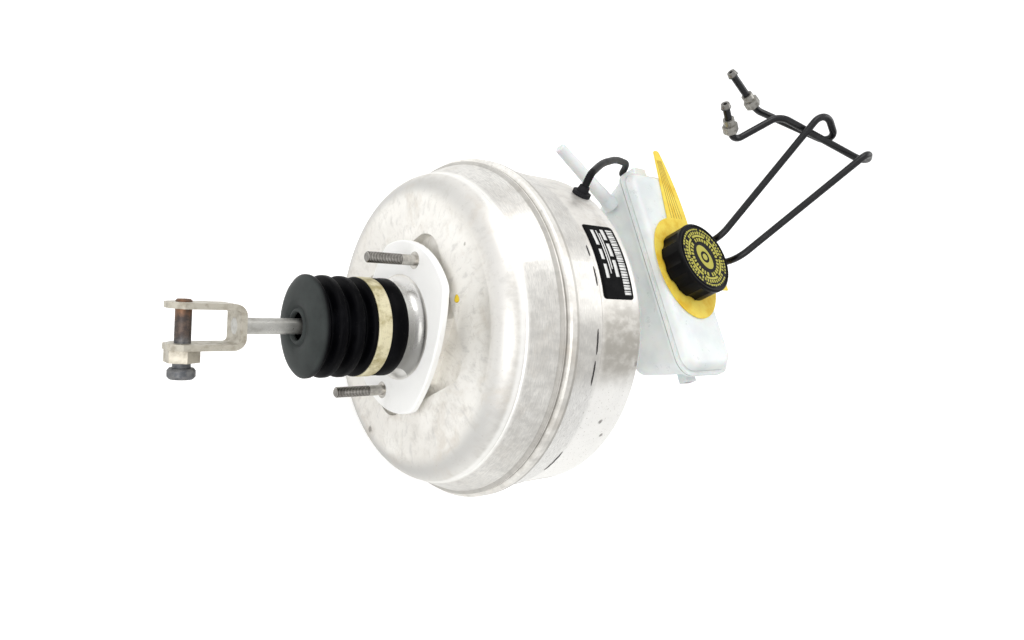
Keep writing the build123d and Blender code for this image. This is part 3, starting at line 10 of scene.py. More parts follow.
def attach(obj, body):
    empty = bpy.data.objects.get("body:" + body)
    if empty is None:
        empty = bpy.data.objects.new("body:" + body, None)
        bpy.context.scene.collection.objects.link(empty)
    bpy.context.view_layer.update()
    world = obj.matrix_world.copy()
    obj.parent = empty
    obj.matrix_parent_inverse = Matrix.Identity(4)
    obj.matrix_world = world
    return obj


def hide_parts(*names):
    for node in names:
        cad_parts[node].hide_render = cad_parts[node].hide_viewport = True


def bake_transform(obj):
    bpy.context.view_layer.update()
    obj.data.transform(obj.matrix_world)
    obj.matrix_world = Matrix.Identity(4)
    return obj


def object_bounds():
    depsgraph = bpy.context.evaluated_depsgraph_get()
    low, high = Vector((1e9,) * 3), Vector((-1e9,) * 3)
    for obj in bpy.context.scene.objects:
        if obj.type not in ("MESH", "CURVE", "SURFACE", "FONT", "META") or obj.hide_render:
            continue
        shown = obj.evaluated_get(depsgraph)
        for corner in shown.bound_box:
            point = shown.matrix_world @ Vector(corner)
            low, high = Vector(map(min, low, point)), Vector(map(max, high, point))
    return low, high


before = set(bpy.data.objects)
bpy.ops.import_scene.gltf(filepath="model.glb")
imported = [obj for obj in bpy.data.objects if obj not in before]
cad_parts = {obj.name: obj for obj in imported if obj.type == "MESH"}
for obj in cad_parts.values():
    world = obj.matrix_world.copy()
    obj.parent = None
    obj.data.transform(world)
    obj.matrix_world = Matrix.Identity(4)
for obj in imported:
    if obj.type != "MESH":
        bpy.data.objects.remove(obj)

CAD_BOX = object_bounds()
DRAUGHTER = random.Random(11)

# ---------------------------------------------------------------- sizes, in metres and the CAD frame
DRUM_R = 0.1292                     # front shell, in front of its step
DRUM_REAR_R = 0.130                 # front shell, behind its step
PRINT_LIFT = 0.00012                # how far prints and stickers stand off their surface
PATCH_THICK = 0.0001
CAP_PRINT_THICK = 0.00008
CAP_CENTRE = (0.2545, 0.0235)
CAP_TOP = 0.114
TAG_TOP = 0.0926
NECK_RADIUS = 0.033
# Zones of the shells' finish and of its painted light and shade: spans along X, spans of radius, and heights
SHOULDER_SHADE_RADII = (0.1035, 0.1165)
SHOULDER_SHADE_HEIGHTS = (0.055, 0.11)
FACE_RADII = (0.072, 0.097)
SIDE_SHADE_RADII = (0.108, 0.118)
FILLET_HIGHLIGHT_X = (0.0205, 0.0265)
REAR_BRUSHED_X = (0.0265, 0.0475)
FRONT_BRUSHED_X = (0.062, 0.086)
BEAD_LINE_X = (0.0497, 0.0512)
BEAD_SHADE_X = ((0.0466, 0.0487), (0.0575, 0.0602))
STEP_LINE_X = (0.0606, 0.0624)
FRONT_EDGE_HIGHLIGHT_X = (0.1215, 0.1345)
DARK_REFLECTION_X = (0.090, 0.131)
LINE_SOFT = 0.0004
DRAWN_NECK_RADII = (0.0405, 0.0375)
# Marks on the shells: place, size and grey level
REAR_MARKS = (((0.009, -0.0585, -0.0815), 0.005, 120), ((0.009, 0.028, 0.088), 0.0025, 150),
              ((0.012, 0.052, 0.092), 0.003, 140), ((0.040, -0.082, -0.098), 0.006, 150))
FRONT_MARKS = (((0.108, -0.104, 0.076), 0.0035, 90), ((0.118, -0.112, 0.064), 0.003, 100),
               ((0.128, -0.070, 0.108), 0.004, 130))
PIPE_FLARES = ((0.284, 0.178, 0.181), (0.265, 0.144, 0.175))
FLARE_BARE, FLARE_REACH = 0.0048, 0.0062   # bare metal up to here, coating from here
SEAM_Z = (0.0796, 0.0805)
LIP_CREASE_Z = (0.0822, 0.0832)

# The photograph's camera: place, the picture's axes, and focal length and sensor width in millimetres
CAMERA_AT = (-0.3105, -0.1796, 0.4604)
CAMERA_RIGHT = (0.75799, -0.23098, 0.61001)
CAMERA_DOWN = (0.01149, -0.93033, -0.36655)
CAMERA_FORWARD = (0.65217, 0.28485, -0.70252)
CAMERA_LENS = 26.72
CAMERA_SENSOR = 36.0


# ---------------------------------------------------------------- materials
def paint(red, green, blue):
    """Linear colour from 0-255 display values."""
    def linear(value):
        value /= 255
        return value / 12.92 if value <= 0.04045 else ((value + 0.055) / 1.055) ** 2.4
    return (linear(red), linear(green), linear(blue), 1.0)


class Finish:
    """A principled material with short calls for the procedural nodes that feed it."""

    def __init__(self, name, color, roughness, metallic=0.0, **constants):
        self.material = bpy.data.materials.new(name)
        self.material.use_nodes = True
        self.tree = self.material.node_tree
        self.shader = self.tree.nodes["Principled BSDF"]
        self.place = self.node("ShaderNodeTexCoord").outputs["Object"]
        self.feed(self.shader.inputs["Base Color"], color)
        self.feed(self.shader.inputs["Roughness"], roughness)
        self.feed(self.shader.inputs["Metallic"], metallic)
        for socket, value in constants.items():
            self.shader.inputs[socket.replace("_", " ")].default_value = value

    def node(self, kind, **settings):
        made = self.tree.nodes.new(kind)
        for key, value in settings.items():
            setattr(made, key, value)
        return made

    def feed(self, socket, value):
        if isinstance(value, bpy.types.NodeSocket):
            self.tree.links.new(value, socket)
        else:
            socket.default_value = value

    def color(self, value):
        self.feed(self.shader.inputs["Base Color"], value)

    def roughness(self, value):
        self.feed(self.shader.inputs["Roughness"], value)

    def metallic(self, value):
        self.feed(self.shader.inputs["Metallic"], value)

    def math(self, operation, *values):
        made = self.node("ShaderNodeMath", operation=operation)
        for socket, value in zip(made.inputs, values):
            self.feed(socket, value)
        return made.outputs[0]

    def axes(self):
        split = self.node("ShaderNodeSeparateXYZ")
        self.feed(split.inputs[0], self.place)
        return split.outputs[0], split.outputs[1], split.outputs[2]

    def join(self, x, y, z):
        made = self.node("ShaderNodeCombineXYZ")
        for socket, value in zip(made.inputs, (x, y, z)):
            self.feed(socket, value)
        return made.outputs[0]

    def radius(self):
        """Distance from the X axis."""
        y, z = self.axes()[1:]
        return self.math("SQRT", self.math("ADD", self.math("MULTIPLY", y, y), self.math("MULTIPLY", z, z)))

    def apart(self, spot):
        """Distance from a fixed place."""
        made = self.node("ShaderNodeVectorMath", operation="DISTANCE")
        self.feed(made.inputs[0], self.place)
        made.inputs[1].default_value = spot
        return made.outputs["Value"]

    def turned(self, along, around_scale):
        """Place on a surface turned about X: stretched round the axis, fine along it."""
        x, y, z = self.axes()
        angle = self.math("ARCTAN2", z, y)
        return self.join(self.math("MULTIPLY", x, along), self.math("MULTIPLY", angle, around_scale),
                         self.math("MULTIPLY", self.radius(), along))

    def noise(self, scale, detail=4.0, roughness=0.55, place=None, distortion=0.0):
        made = self.node("ShaderNodeTexNoise")
        self.feed(made.inputs["Vector"], place or self.place)
        made.inputs["Scale"].default_value = scale
        made.inputs["Detail"].default_value = detail
        made.inputs["Roughness"].default_value = roughness
        made.inputs["Distortion"].default_value = distortion
        return made.outputs[0]

    def fade(self, value, low, high, to_low=0.0, to_high=1.0):
        """Smooth step of value from low to high."""
        made = self.node("ShaderNodeMapRange", interpolation_type="SMOOTHSTEP")
        for socket, number in zip(made.inputs, (value, low, high, to_low, to_high)):
            self.feed(socket, number)
        return made.outputs[0]

    def band(self, value, low, high, soft):
        """One between low and high, zero outside, with soft edges."""
        rise = self.fade(value, low - soft, low + soft)
        fall = self.fade(value, high - soft, high + soft, 1.0, 0.0)
        return self.math("MULTIPLY", rise, fall)

    def mix(self, factor, first, second):
        """First colour at factor 0, second at factor 1."""
        made = self.node("ShaderNodeMix", data_type="RGBA")
        self.feed(made.inputs[0], factor)
        self.feed(made.inputs[6], first)
        self.feed(made.inputs[7], second)
        return made.outputs[2]

    def bump(self, height, distance, strength):
        made = self.node("ShaderNodeBump")
        made.inputs["Strength"].default_value = strength
        made.inputs["Distance"].default_value = distance
        self.feed(made.inputs["Height"], height)
        previous = self.shader.inputs["Normal"].links
        if previous:
            self.feed(made.inputs["Normal"], previous[0].from_socket)
        self.feed(self.shader.inputs["Normal"], made.outputs[0])


def shell_finish(name, front):
    """Raw rolled aluminium: pale and warm, with grain, stains and a brushed band, plus painted light and
    shade: grey dark reflections, a darkened shoulder, highlights and shaded grooves.
    """
    finish = Finish(name, paint(240, 238, 233), 0.42, 0.6)
    x, y, z = finish.axes()
    angle = finish.math("ARCTAN2", z, y)
    cloud = finish.noise(14.0, 5.0, 0.6)
    stain = finish.noise(38.0, 6.0, 0.66, distortion=0.4)
    speck = finish.noise(420.0, 3.0, 0.7)
    grain = finish.noise(1.0, 3.0, 0.6, finish.turned(2600.0, 22.0))
    streak = finish.noise(1.0, 3.0, 0.6, finish.turned(90.0, 16.0))
    color = finish.mix(finish.fade(cloud, 0.38, 0.66), paint(229, 226, 220), paint(246, 244, 239))
    # Painted shade: a dark reflection along the drum, broken up by the streaks.
    side_shade = finish.math("MULTIPLY", finish.band(angle, radians(98), radians(165), radians(14)),
                       finish.fade(finish.radius(), *SIDE_SHADE_RADII))
    color = finish.mix(finish.math("MULTIPLY", side_shade, finish.fade(streak, 0.32, 0.64, 0.25, 0.65)), color,
                       paint(190, 187, 181))
    if not front:
        # Painted shade: the drawn shoulder is painted darker than the face it runs into, most of all low
        # down.
        shoulder_shade = finish.mix(finish.fade(z, *SHOULDER_SHADE_HEIGHTS), paint(192, 191, 188), paint(216, 214, 210))
        shoulder = finish.math("MULTIPLY", finish.band(finish.radius(), *SHOULDER_SHADE_RADII, 0.006), 0.9)
        color = finish.mix(shoulder, color, shoulder_shade)
        face = finish.band(finish.radius(), *FACE_RADII, 0.008)
        # Painted highlight: the face is lighter towards the top.
        face_highlight = finish.math("MULTIPLY", face, finish.fade(z, 0.03, 0.08, 0.2, 0.9))
        color = finish.mix(face_highlight, color, paint(250, 248, 243))
    color = finish.mix(finish.fade(stain, 0.5, 0.74, 0.0, 0.5), color, paint(202, 193, 180))
    mottle = finish.noise(85.0, 6.0, 0.72, distortion=0.6)
    color = finish.mix(finish.fade(mottle, 0.48, 0.7, 0.0, 0.32), color, paint(184, 179, 171))
    color = finish.mix(finish.fade(streak, 0.52, 0.72, 0.0, 0.4), color, paint(192, 190, 186))
    color = finish.mix(finish.fade(speck, 0.64, 0.74, 0.0, 0.3), color, paint(142, 134, 124))
    # Blotches low down: partly stains, partly painted shade.
    low_side = finish.fade(z, -0.02, -0.12)
    color = finish.mix(finish.math("MULTIPLY", low_side, finish.fade(stain, 0.44, 0.64, 0.0, 0.3)), color,
                       paint(180, 168, 154))
    rough = finish.fade(cloud, 0.3, 0.7, 0.36, 0.52)
    if front:
        # Painted highlight along the shell's front edge.
        edge = finish.band(x, *FRONT_EDGE_HIGHLIGHT_X, 0.002)
        color = finish.mix(finish.math("MULTIPLY", edge, 0.4), color, paint(250, 249, 246))
        brushed = finish.band(x, *FRONT_BRUSHED_X, 0.003)
        # Painted shade: a grey dark reflection in front of the sticker, broken up by the streaks.
        dark_reflection = finish.math("MULTIPLY", finish.band(angle, radians(105), radians(128), radians(9)),
                             finish.band(x, *DARK_REFLECTION_X, 0.004))
        dark_reflection = finish.math("MULTIPLY", dark_reflection, finish.fade(streak, 0.3, 0.62, 0.5, 1.0))
        color = finish.mix(dark_reflection, color, paint(172, 168, 160))
        # Painted shade in the groove at the step.
        crease = finish.band(x, *STEP_LINE_X, LINE_SOFT)
        # Painted highlight: beyond the dark reflection the shell is painted almost white, with fine dirt
        # round it.
        highlit_side = finish.fade(angle, radians(124), radians(134))
        color = finish.mix(finish.math("MULTIPLY", highlit_side, 0.85), color, paint(254, 253, 250))
        dirt = finish.noise(1.0, 4.0, 0.7, finish.turned(620.0, 60.0))
        color = finish.mix(finish.math("MULTIPLY", highlit_side, finish.fade(dirt, 0.6, 0.68, 0.0, 0.55)), color,
                           paint(138, 128, 112))
    else:
        brushed = finish.band(x, *REAR_BRUSHED_X, 0.002)
        # Painted shade in the bead's groove and in the lines next to the bead.
        bead_shade = finish.math("MAXIMUM", *[finish.band(x, *span, LINE_SOFT) for span in BEAD_SHADE_X])
        crease = finish.math("MAXIMUM", finish.band(x, *BEAD_LINE_X, LINE_SOFT),
                             finish.math("MULTIPLY", bead_shade, 0.6))
        # Painted highlight on the shoulder's fillet.
        color = finish.mix(finish.math("MULTIPLY", finish.band(x, *FILLET_HIGHLIGHT_X, 0.0015), 0.7), color,
                           paint(252, 251, 248))
    color = finish.mix(finish.math("MULTIPLY", brushed, finish.fade(grain, 0.35, 0.65, 0.1, 0.55)), color,
                       paint(176, 175, 172))
    # Painted shade: the grooves are darkened.
    color = finish.mix(finish.math("MULTIPLY", crease, 0.75), color, paint(118, 114, 107))
    color = press_marks(finish, color, front)
    rough = finish.math("SUBTRACT", rough, finish.math("MULTIPLY", brushed, 0.08))
    if not front:
        # The drawn neck is brighter metal than the dome, with a painted dark reflection towards -Y.
        neck = finish.math("MULTIPLY", finish.fade(finish.radius(), *DRAWN_NECK_RADII),
                           finish.fade(x, 0.002, -0.001))
        shade = finish.mix(finish.band(angle, radians(100), radians(200), radians(25)), paint(214, 213, 210),
                           paint(142, 141, 138))
        color = finish.mix(neck, color, shade)
        metal = finish.math("SUBTRACT", 0.6, finish.math("MULTIPLY", face, 0.2))
        finish.metallic(finish.math("ADD", metal, finish.math("MULTIPLY", neck, 0.35)))
        rough = finish.math("SUBTRACT", rough, finish.math("MULTIPLY", neck, 0.16))
    finish.color(color)
    finish.roughness(rough)
    finish.bump(grain, 0.00006, 0.5)
    finish.bump(finish.noise(300.0, 4.0, 0.6), 0.00012, 0.35)
    finish.bump(stain, 0.0004, 0.25)
    return finish.material


def press_marks(finish, color, front):
    """A few scuffs and dirt spots at set places on the shells."""
    for at, size, shade in (FRONT_MARKS if front else REAR_MARKS):
        ragged = finish.math("MULTIPLY", finish.noise(260.0, 4.0, 0.7), size)
        far = finish.math("ADD", finish.apart(at), ragged)
        dirt = finish.fade(far, 1.25 * size, 0.75 * size, 0.0, 0.75)
        color = finish.mix(dirt, color, paint(shade, shade - 6, shade - 14))
    return color


def plate_finish():
    """Near-white coated plate with faint bruises."""
    finish = Finish("flange_plate", paint(250, 250, 248), 0.5, 0.0)
    cloud = finish.noise(46.0, 5.0, 0.6)
    color = finish.mix(finish.fade(cloud, 0.5, 0.76, 0.0, 0.6), paint(253, 253, 251), paint(240, 240, 237))
    nick = finish.noise(380.0, 3.0, 0.7)
    finish.color(finish.mix(finish.fade(nick, 0.7, 0.76, 0.0, 0.3), color, paint(168, 164, 158)))
    finish.roughness(finish.fade(cloud, 0.3, 0.7, 0.38, 0.56))
    finish.bump(finish.noise(240.0, 4.0), 0.0001, 0.3)
    return finish.material


def rubber_finish(name, shade, roughness, dust=0.25, lit_face_end=None, shine=0.12):
    """Moulded black rubber with a faint dusty bloom; where an end is given, the face behind it is painted
    lighter as painted light, broken up by the bloom.
    """
    finish = Finish(name, paint(shade, shade, shade + 2), roughness, Specular_IOR_Level=shine)
    bloom = finish.noise(30.0, 5.0, 0.62)
    fine = finish.noise(700.0, 3.0, 0.6)
    color = finish.mix(finish.fade(bloom, 0.46, 0.78, 0.0, dust), paint(shade, shade, shade + 2),
                       paint(70, 71, 76))
    color = finish.mix(finish.fade(fine, 0.66, 0.76, 0.0, 0.2), color, paint(104, 102, 98))
    if lit_face_end:
        # Painted light: the rear face behind the end is lighter.
        near = finish.fade(finish.axes()[0], lit_face_end + 0.003, lit_face_end - 0.0008)
        color = finish.mix(finish.math("MULTIPLY", near, finish.fade(bloom, 0.3, 0.7, 0.6, 1.0)), color,
                           paint(66, 70, 69))
    finish.color(color)
    finish.roughness(finish.fade(bloom, 0.3, 0.75, roughness - 0.06, roughness + 0.14))
    finish.bump(fine, 0.00005, 0.4)
    finish.bump(finish.noise(90.0, 4.0), 0.0003, 0.25)
    return finish.material


def metal_finish(name, tint, roughness, spot=(120, 112, 100), amount=0.35, metallic=0.9, scale=160.0):
    """Plated or machined steel with cloudy tarnish and fine pitting."""
    finish = Finish(name, paint(*tint), roughness, metallic)
    cloud = finish.noise(scale, 5.0, 0.62)
    pit = finish.noise(scale * 7, 3.0, 0.7)
    color = finish.mix(finish.fade(cloud, 0.42, 0.72, 0.0, amount), paint(*tint), paint(*spot))
    finish.color(finish.mix(finish.fade(pit, 0.62, 0.76, 0.0, 0.5), color, paint(*[c * 0.6 for c in spot])))
    finish.roughness(finish.fade(cloud, 0.3, 0.75, roughness - 0.08, roughness + 0.16))
    finish.bump(cloud, 0.0001, 0.3)
    finish.bump(pit, 0.00004, 0.5)
    return finish


def thread_rings(finish, axis, low, high, pitch, tint=None):
    """Thread grooves between two places along an axis, dirty at their roots where a tint is given."""
    along = finish.axes()[axis]
    wave = finish.math("SINE", finish.math("MULTIPLY", along, 2 * pi / pitch))
    span = finish.band(along, low, high, 0.0006)
    finish.bump(finish.math("MULTIPLY", wave, span), 0.0005, 0.7)
    if tint:
        dirt = finish.math("MULTIPLY", finish.fade(wave, 0.5, -0.5, 0.25, 0.95), span)
        plain = finish.shader.inputs["Base Color"].links[0].from_socket
        finish.color(finish.mix(dirt, plain, paint(*tint)))
    return finish


def stud_finish():
    """Zinc-plated stud with its thread."""
    finish = metal_finish("stud_zinc", (196, 193, 187), 0.34, (108, 104, 98), 0.5)
    return thread_rings(finish, 0, -0.0405, -0.012, 0.00125, (64, 60, 57)).material


def pin_finish():
    """Clevis pin: brown under the fork's upper arm, dark in the gap as painted shade, grey at the head."""
    finish = metal_finish("pin_steel", (112, 104, 98), 0.5, (116, 66, 34), 0.7, 0.6, 240.0)
    x, y, z = finish.axes()
    rust = finish.fade(finish.noise(260.0, 5.0, 0.66), 0.35, 0.65)
    brown = finish.mix(rust, paint(96, 78, 66), paint(132, 96, 72))
    dark = finish.mix(rust, paint(70, 64, 62), paint(98, 84, 76))
    grey = finish.mix(rust, paint(88, 90, 94), paint(118, 118, 118))
    # Painted shade: darker in the fork's gap.
    color = finish.mix(finish.fade(y, -0.012, -0.006), grey, dark)
    finish.color(finish.mix(finish.fade(y, 0.001, 0.008), color, brown))
    return finish.material


def band_finish():
    """Cream retaining band with olive mottling."""
    finish = Finish("boot_band", paint(205, 196, 160), 0.55)
    patch = finish.noise(90.0, 5.0, 0.65)
    fine = finish.noise(900.0, 3.0, 0.6)
    color = finish.mix(finish.fade(patch, 0.4, 0.66), paint(222, 214, 180), paint(170, 158, 112))
    finish.color(finish.mix(finish.fade(fine, 0.55, 0.72, 0.0, 0.4), color, paint(134, 122, 82)))
    finish.bump(patch, 0.0004, 0.4)
    finish.bump(fine, 0.00006, 0.4)
    return finish.material


def reservoir_finish():
    """Milky moulded polypropylene that lets some light through."""
    finish = Finish("reservoir", paint(238, 241, 239), 0.34, Subsurface_Weight=0.3, Subsurface_Scale=0.004,
                    Transmission_Weight=0.05)
    cloud = finish.noise(26.0, 4.0, 0.55)
    smear = finish.noise(120.0, 5.0, 0.7)
    color = finish.mix(finish.fade(cloud, 0.35, 0.68), paint(243, 246, 245), paint(226, 231, 231))
    color = finish.mix(finish.fade(smear, 0.66, 0.8, 0.0, 0.4), color, paint(206, 204, 192))
    # The welded seam and the crease above its lip, dirty here and there.
    z = finish.axes()[2]
    seam = finish.math("MULTIPLY", finish.band(z, *SEAM_Z, 0.0002), 0.75)
    crease = finish.math("MULTIPLY", finish.band(z, *LIP_CREASE_Z, 0.0003), 0.45)
    line = finish.math("MULTIPLY", finish.math("MAXIMUM", seam, crease),
                       finish.fade(smear, 0.3, 0.6, 0.5, 1.0))
    finish.color(finish.mix(line, color, paint(142, 140, 130)))
    finish.roughness(finish.fade(smear, 0.3, 0.7, 0.26, 0.44))
    finish.bump(finish.noise(210.0, 4.0), 0.0001, 0.25)
    return finish.material


def plastic_finish(name, tint, roughness=0.42, wear=(96, 94, 92), amount=0.25, shine=0.5):
    """Moulded plastic with a fine texture and light scuffs."""
    finish = Finish(name, paint(*tint), roughness, Specular_IOR_Level=shine)
    scuff = finish.noise(150.0, 6.0, 0.7)
    grain = finish.noise(1500.0, 2.0, 0.5)
    finish.color(finish.mix(finish.fade(scuff, 0.58, 0.78, 0.0, amount), paint(*tint), paint(*wear)))
    finish.roughness(finish.fade(scuff, 0.3, 0.75, roughness - 0.05, roughness + 0.15))
    finish.bump(grain, 0.00003, 0.5)
    return finish.material


def tag_finish():
    """Yellow card in patchy tones, with faint fibres."""
    finish = Finish("tag_yellow", paint(238, 206, 66), 0.6, Specular_IOR_Level=0.3)
    patch = finish.noise(60.0, 5.0, 0.65)
    fibre = finish.noise(1100.0, 3.0, 0.6)
    color = finish.mix(finish.fade(patch, 0.4, 0.7), paint(248, 222, 92), paint(234, 192, 50))
    finish.color(finish.mix(finish.fade(fibre, 0.58, 0.74, 0.0, 0.3), color, paint(178, 130, 30)))
    finish.bump(patch, 0.0003, 0.3)
    return finish.material


def pipe_finish():
    """Black coated brake pipe with greyish patches of wear and bare steel at the flared ends."""
    finish = Finish("pipe_black", paint(12, 13, 15), 0.28, 0.0, Specular_IOR_Level=0.3, Coat_Weight=0.1,
                    Coat_Roughness=0.2)
    wear = finish.noise(60.0, 5.0, 0.66)
    fine = finish.noise(900.0, 3.0, 0.6)
    color = finish.mix(finish.fade(wear, 0.54, 0.78, 0.0, 0.4), paint(14, 15, 18), paint(66, 66, 70))
    color = finish.mix(finish.fade(fine, 0.66, 0.78, 0.0, 0.3), color, paint(132, 130, 124))
    bare = 0.0
    for flare in PIPE_FLARES:
        bare = finish.math("MAXIMUM", bare, finish.fade(finish.apart(flare), FLARE_REACH, FLARE_BARE))
    finish.color(finish.mix(bare, color, paint(128, 126, 122)))
    finish.metallic(finish.math("MULTIPLY", bare, 0.8))
    finish.roughness(finish.fade(wear, 0.35, 0.75, 0.22, 0.42))
    return finish.material


def casting_finish():
    """Sand-blasted aluminium casting."""
    finish = Finish("casting", paint(184, 184, 182), 0.55, 0.7)
    cloud = finish.noise(34.0, 5.0, 0.62)
    sand = finish.noise(900.0, 4.0, 0.65)
    finish.color(finish.mix(finish.fade(cloud, 0.4, 0.7), paint(190, 190, 188), paint(160, 158, 154)))
    finish.bump(sand, 0.00025, 0.5)
    return finish.material


SHELL_REAR = shell_finish("shell_rear", False)
SHELL_FRONT = shell_finish("shell_front", True)
PLATE = plate_finish()
STUD = stud_finish()
ZINC = metal_finish("zinc", (184, 178, 164), 0.42, (120, 112, 98), 0.55, 0.7).material
ROD = metal_finish("rod_zinc", (184, 183, 178), 0.34, (120, 114, 104), 0.4).material
FORK = metal_finish("fork_zinc", (186, 181, 168), 0.46, (140, 131, 114), 0.6, 0.6).material
STEEL = metal_finish("steel", (170, 170, 170), 0.35).material
SPRING = metal_finish("spring_steel", (92, 92, 96), 0.4).material
PIN = pin_finish()
NUT = metal_finish("nut_zinc", (158, 156, 150), 0.38, (92, 88, 82), 0.75, 0.8, 320.0).material
RUBBER = rubber_finish("rubber", 20, 0.55)
# Its rear face is painted lighter, as painted light.
BOOT = rubber_finish("boot_rubber", 2, 0.42, 0.1, -0.0775, 0.045)
BAND = band_finish()
RESERVOIR = reservoir_finish()
CAP = plastic_finish("cap_black", (6, 6, 8), 0.36, (60, 58, 56), 0.2, 0.1)
PRINT = plastic_finish("cap_print", (178, 172, 62), 0.5, (120, 116, 50), 0.6)
TAG = tag_finish()
TAG_LINE = plastic_finish("tag_line", (150, 112, 30), 0.6)
BLACK = plastic_finish("black_moulding", (14, 14, 16), 0.45, shine=0.25)
GREEN = plastic_finish("float_moulding", (176, 190, 70), 0.45)
LEAD = rubber_finish("lead_sleeve", 12, 0.42, 0.15)
PIPE = pipe_finish()
CASTING = casting_finish()
VALVE = plastic_finish("valve_moulding", (52, 50, 50), 0.5)
FELT = rubber_finish("filter_felt", 84, 0.9, 0.4)
STICKER = plastic_finish("sticker_black", (10, 10, 12), 0.5, (60, 60, 62), 0.25, 0.05)
STICKER_FIELD = plastic_finish("sticker_field", (226, 226, 224), 0.45, (180, 178, 172), 0.4)
MARK = plastic_finish("marker", (36, 32, 32), 0.55)
DOT = plastic_finish("paint_dot", (222, 190, 32), 0.4, (196, 160, 20), 0.4)

NODE_FINISHES = {
    SHELL_REAR: ("rear_shell",), SHELL_FRONT: ("front_shell",), PLATE: ("mounting_flange",),
    STUD: ("mounting_studs",), ZINC: ("front_studs", "front_nuts", "retaining_pin", "clevis_nut"),
    ROD: ("input_rod", "output_rod"), FORK: ("clevis",), PIN: ("clevis_pin",),
    NUT: ("outlet_nuts", "pipe_a_free_nut", "pipe_b_free_nut"),
    STEEL: ("valve_key", "valve_retainer", "valve_plunger", "diaphragm_plate"),
    SPRING: ("return_spring", "primary_spring", "secondary_spring", "poppet_spring"),
    RUBBER: ("neck_seal", "diaphragm", "hub_seal", "check_grommet", "reservoir_grommets", "lead_grommet",
             "reaction_disc", "poppet_valve", "primary_cups", "secondary_cups", "cap_seal"),
    BAND: ("boot_band",),
    RESERVOIR: ("reservoir_lower", "reservoir_upper", "clutch_spout", "switch_socket", "lead_plug"),
    CAP: ("reservoir_cap",), TAG: ("service_tag",), GREEN: ("level_float",), LEAD: ("sensor_lead",),
    BLACK: ("check_valve", "level_switch", "tail_grille"),
    PIPE: ("pipe_a", "pipe_b"), CASTING: ("master_cylinder", "primary_piston", "secondary_piston"),
    VALVE: ("valve_body",), FELT: ("air_filter",), BOOT: ("boot",),
}
for material, names in NODE_FINISHES.items():
    for name in names:
        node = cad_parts[name]
        if not node.material_slots:
            node.data.materials.append(material)
        for slot in node.material_slots:
            slot.material = material


# ---------------------------------------------------------------- mesh helpers
def piece(name, corners, faces, material, body, smooth=True):
    """A mesh that rides on a body."""
    mesh = bpy.data.meshes.new(name)
    mesh.from_pydata([tuple(c) for c in corners], [], faces)
    mesh.validate()
    mesh.materials.append(material)
    if smooth:
        mesh.shade_smooth()
    made = bpy.data.objects.new(name, mesh)
    bpy.context.scene.collection.objects.link(made)
    if body:
        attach(made, body)
    return made


def outward(made):
    """Turns a closed mesh's faces outwards."""
    work = bmesh.new()
    work.from_mesh(made.data)
    bmesh.ops.recalc_face_normals(work, faces=work.faces)
    work.to_mesh(made.data)
    work.free()
    return made


def turned_piece(name, profile, material, body, steps):
    """Closed profile of (x, radius) pairs turned about the X axis."""
    corners, faces = [], []
    count = len(profile)
    for step in range(steps):
        angle = 2 * pi * step / steps
        corners += [(x, r * cos(angle), r * sin(angle)) for x, r in profile]
    for step in range(steps):
        here, ahead = step * count, (step + 1) % steps * count
        faces += [(here + i, here + (i + 1) % count, ahead + (i + 1) % count, ahead + i)
                  for i in range(count)]
    return outward(piece(name, corners, faces, material, body))


def slab(name, outline, place, thickness, material, body):
    """Thin closed plate: outline points (u, v) go through place(u, v, height) on both sides."""
    count = len(outline)
    corners = [place(u, v, 0.0) for u, v in outline] + [place(u, v, thickness) for u, v in outline]
    faces = [tuple(range(count))[::-1], tuple(range(count, 2 * count))]
    faces += [(i, (i + 1) % count, count + (i + 1) % count, count + i) for i in range(count)]
    return outward(piece(name, corners, faces, material, body, smooth=False))


def on_drum(radius, x, angle, lift):
    """A point on the drum: angle is in radians from +Z towards -Y."""
    return (x, -(radius + lift) * sin(angle), (radius + lift) * cos(angle))


def drum_patch(name, radius, x_span, angle_span, material, cells, edge=None):
    """A closed patch that hugs the drum, with an optional edge function that narrows it."""
    across, along = cells
    corners = []
    for lift in (PRINT_LIFT, PRINT_LIFT + PATCH_THICK):
        for row in range(along + 1):
            turn = row / along
            low, high = edge(turn) if edge else (0.0, 1.0)
            for column in range(across + 1):
                share = low + (high - low) * column / across
                corners.append(on_drum(radius, x_span[0] + (x_span[1] - x_span[0]) * share,
                                       angle_span[0] + (angle_span[1] - angle_span[0]) * turn, lift))
    layer = (across + 1) * (along + 1)
    faces = []
    for row in range(along):
        for column in range(across):
            a = row * (across + 1) + column
            quad = (a, a + 1, a + across + 2, a + across + 1)
            faces += [quad[::-1], tuple(layer + i for i in quad)]
    rim = list(range(across)) + [across + r * (across + 1) for r in range(along)]
    rim += [along * (across + 1) + c for c in range(across, 0, -1)]
    rim += [r * (across + 1) for r in range(along, 0, -1)]
    faces += [(a, b, layer + b, layer + a) for a, b in zip(rim, rim[1:] + rim[:1])]
    return outward(piece(name, corners, faces, material, "root"))


# ---------------------------------------------------------------- boot
# Its sizes match the solid boot's
BOOT_RADIUS = 0.0363
BOOT_CREST = -0.0765                # the rear lobe's crest
SLEEVE_START = -0.0385
FOLD_PITCH = 0.0131
FIRST_VALLEY = -0.0698
FOLD_DEPTH = 0.0062


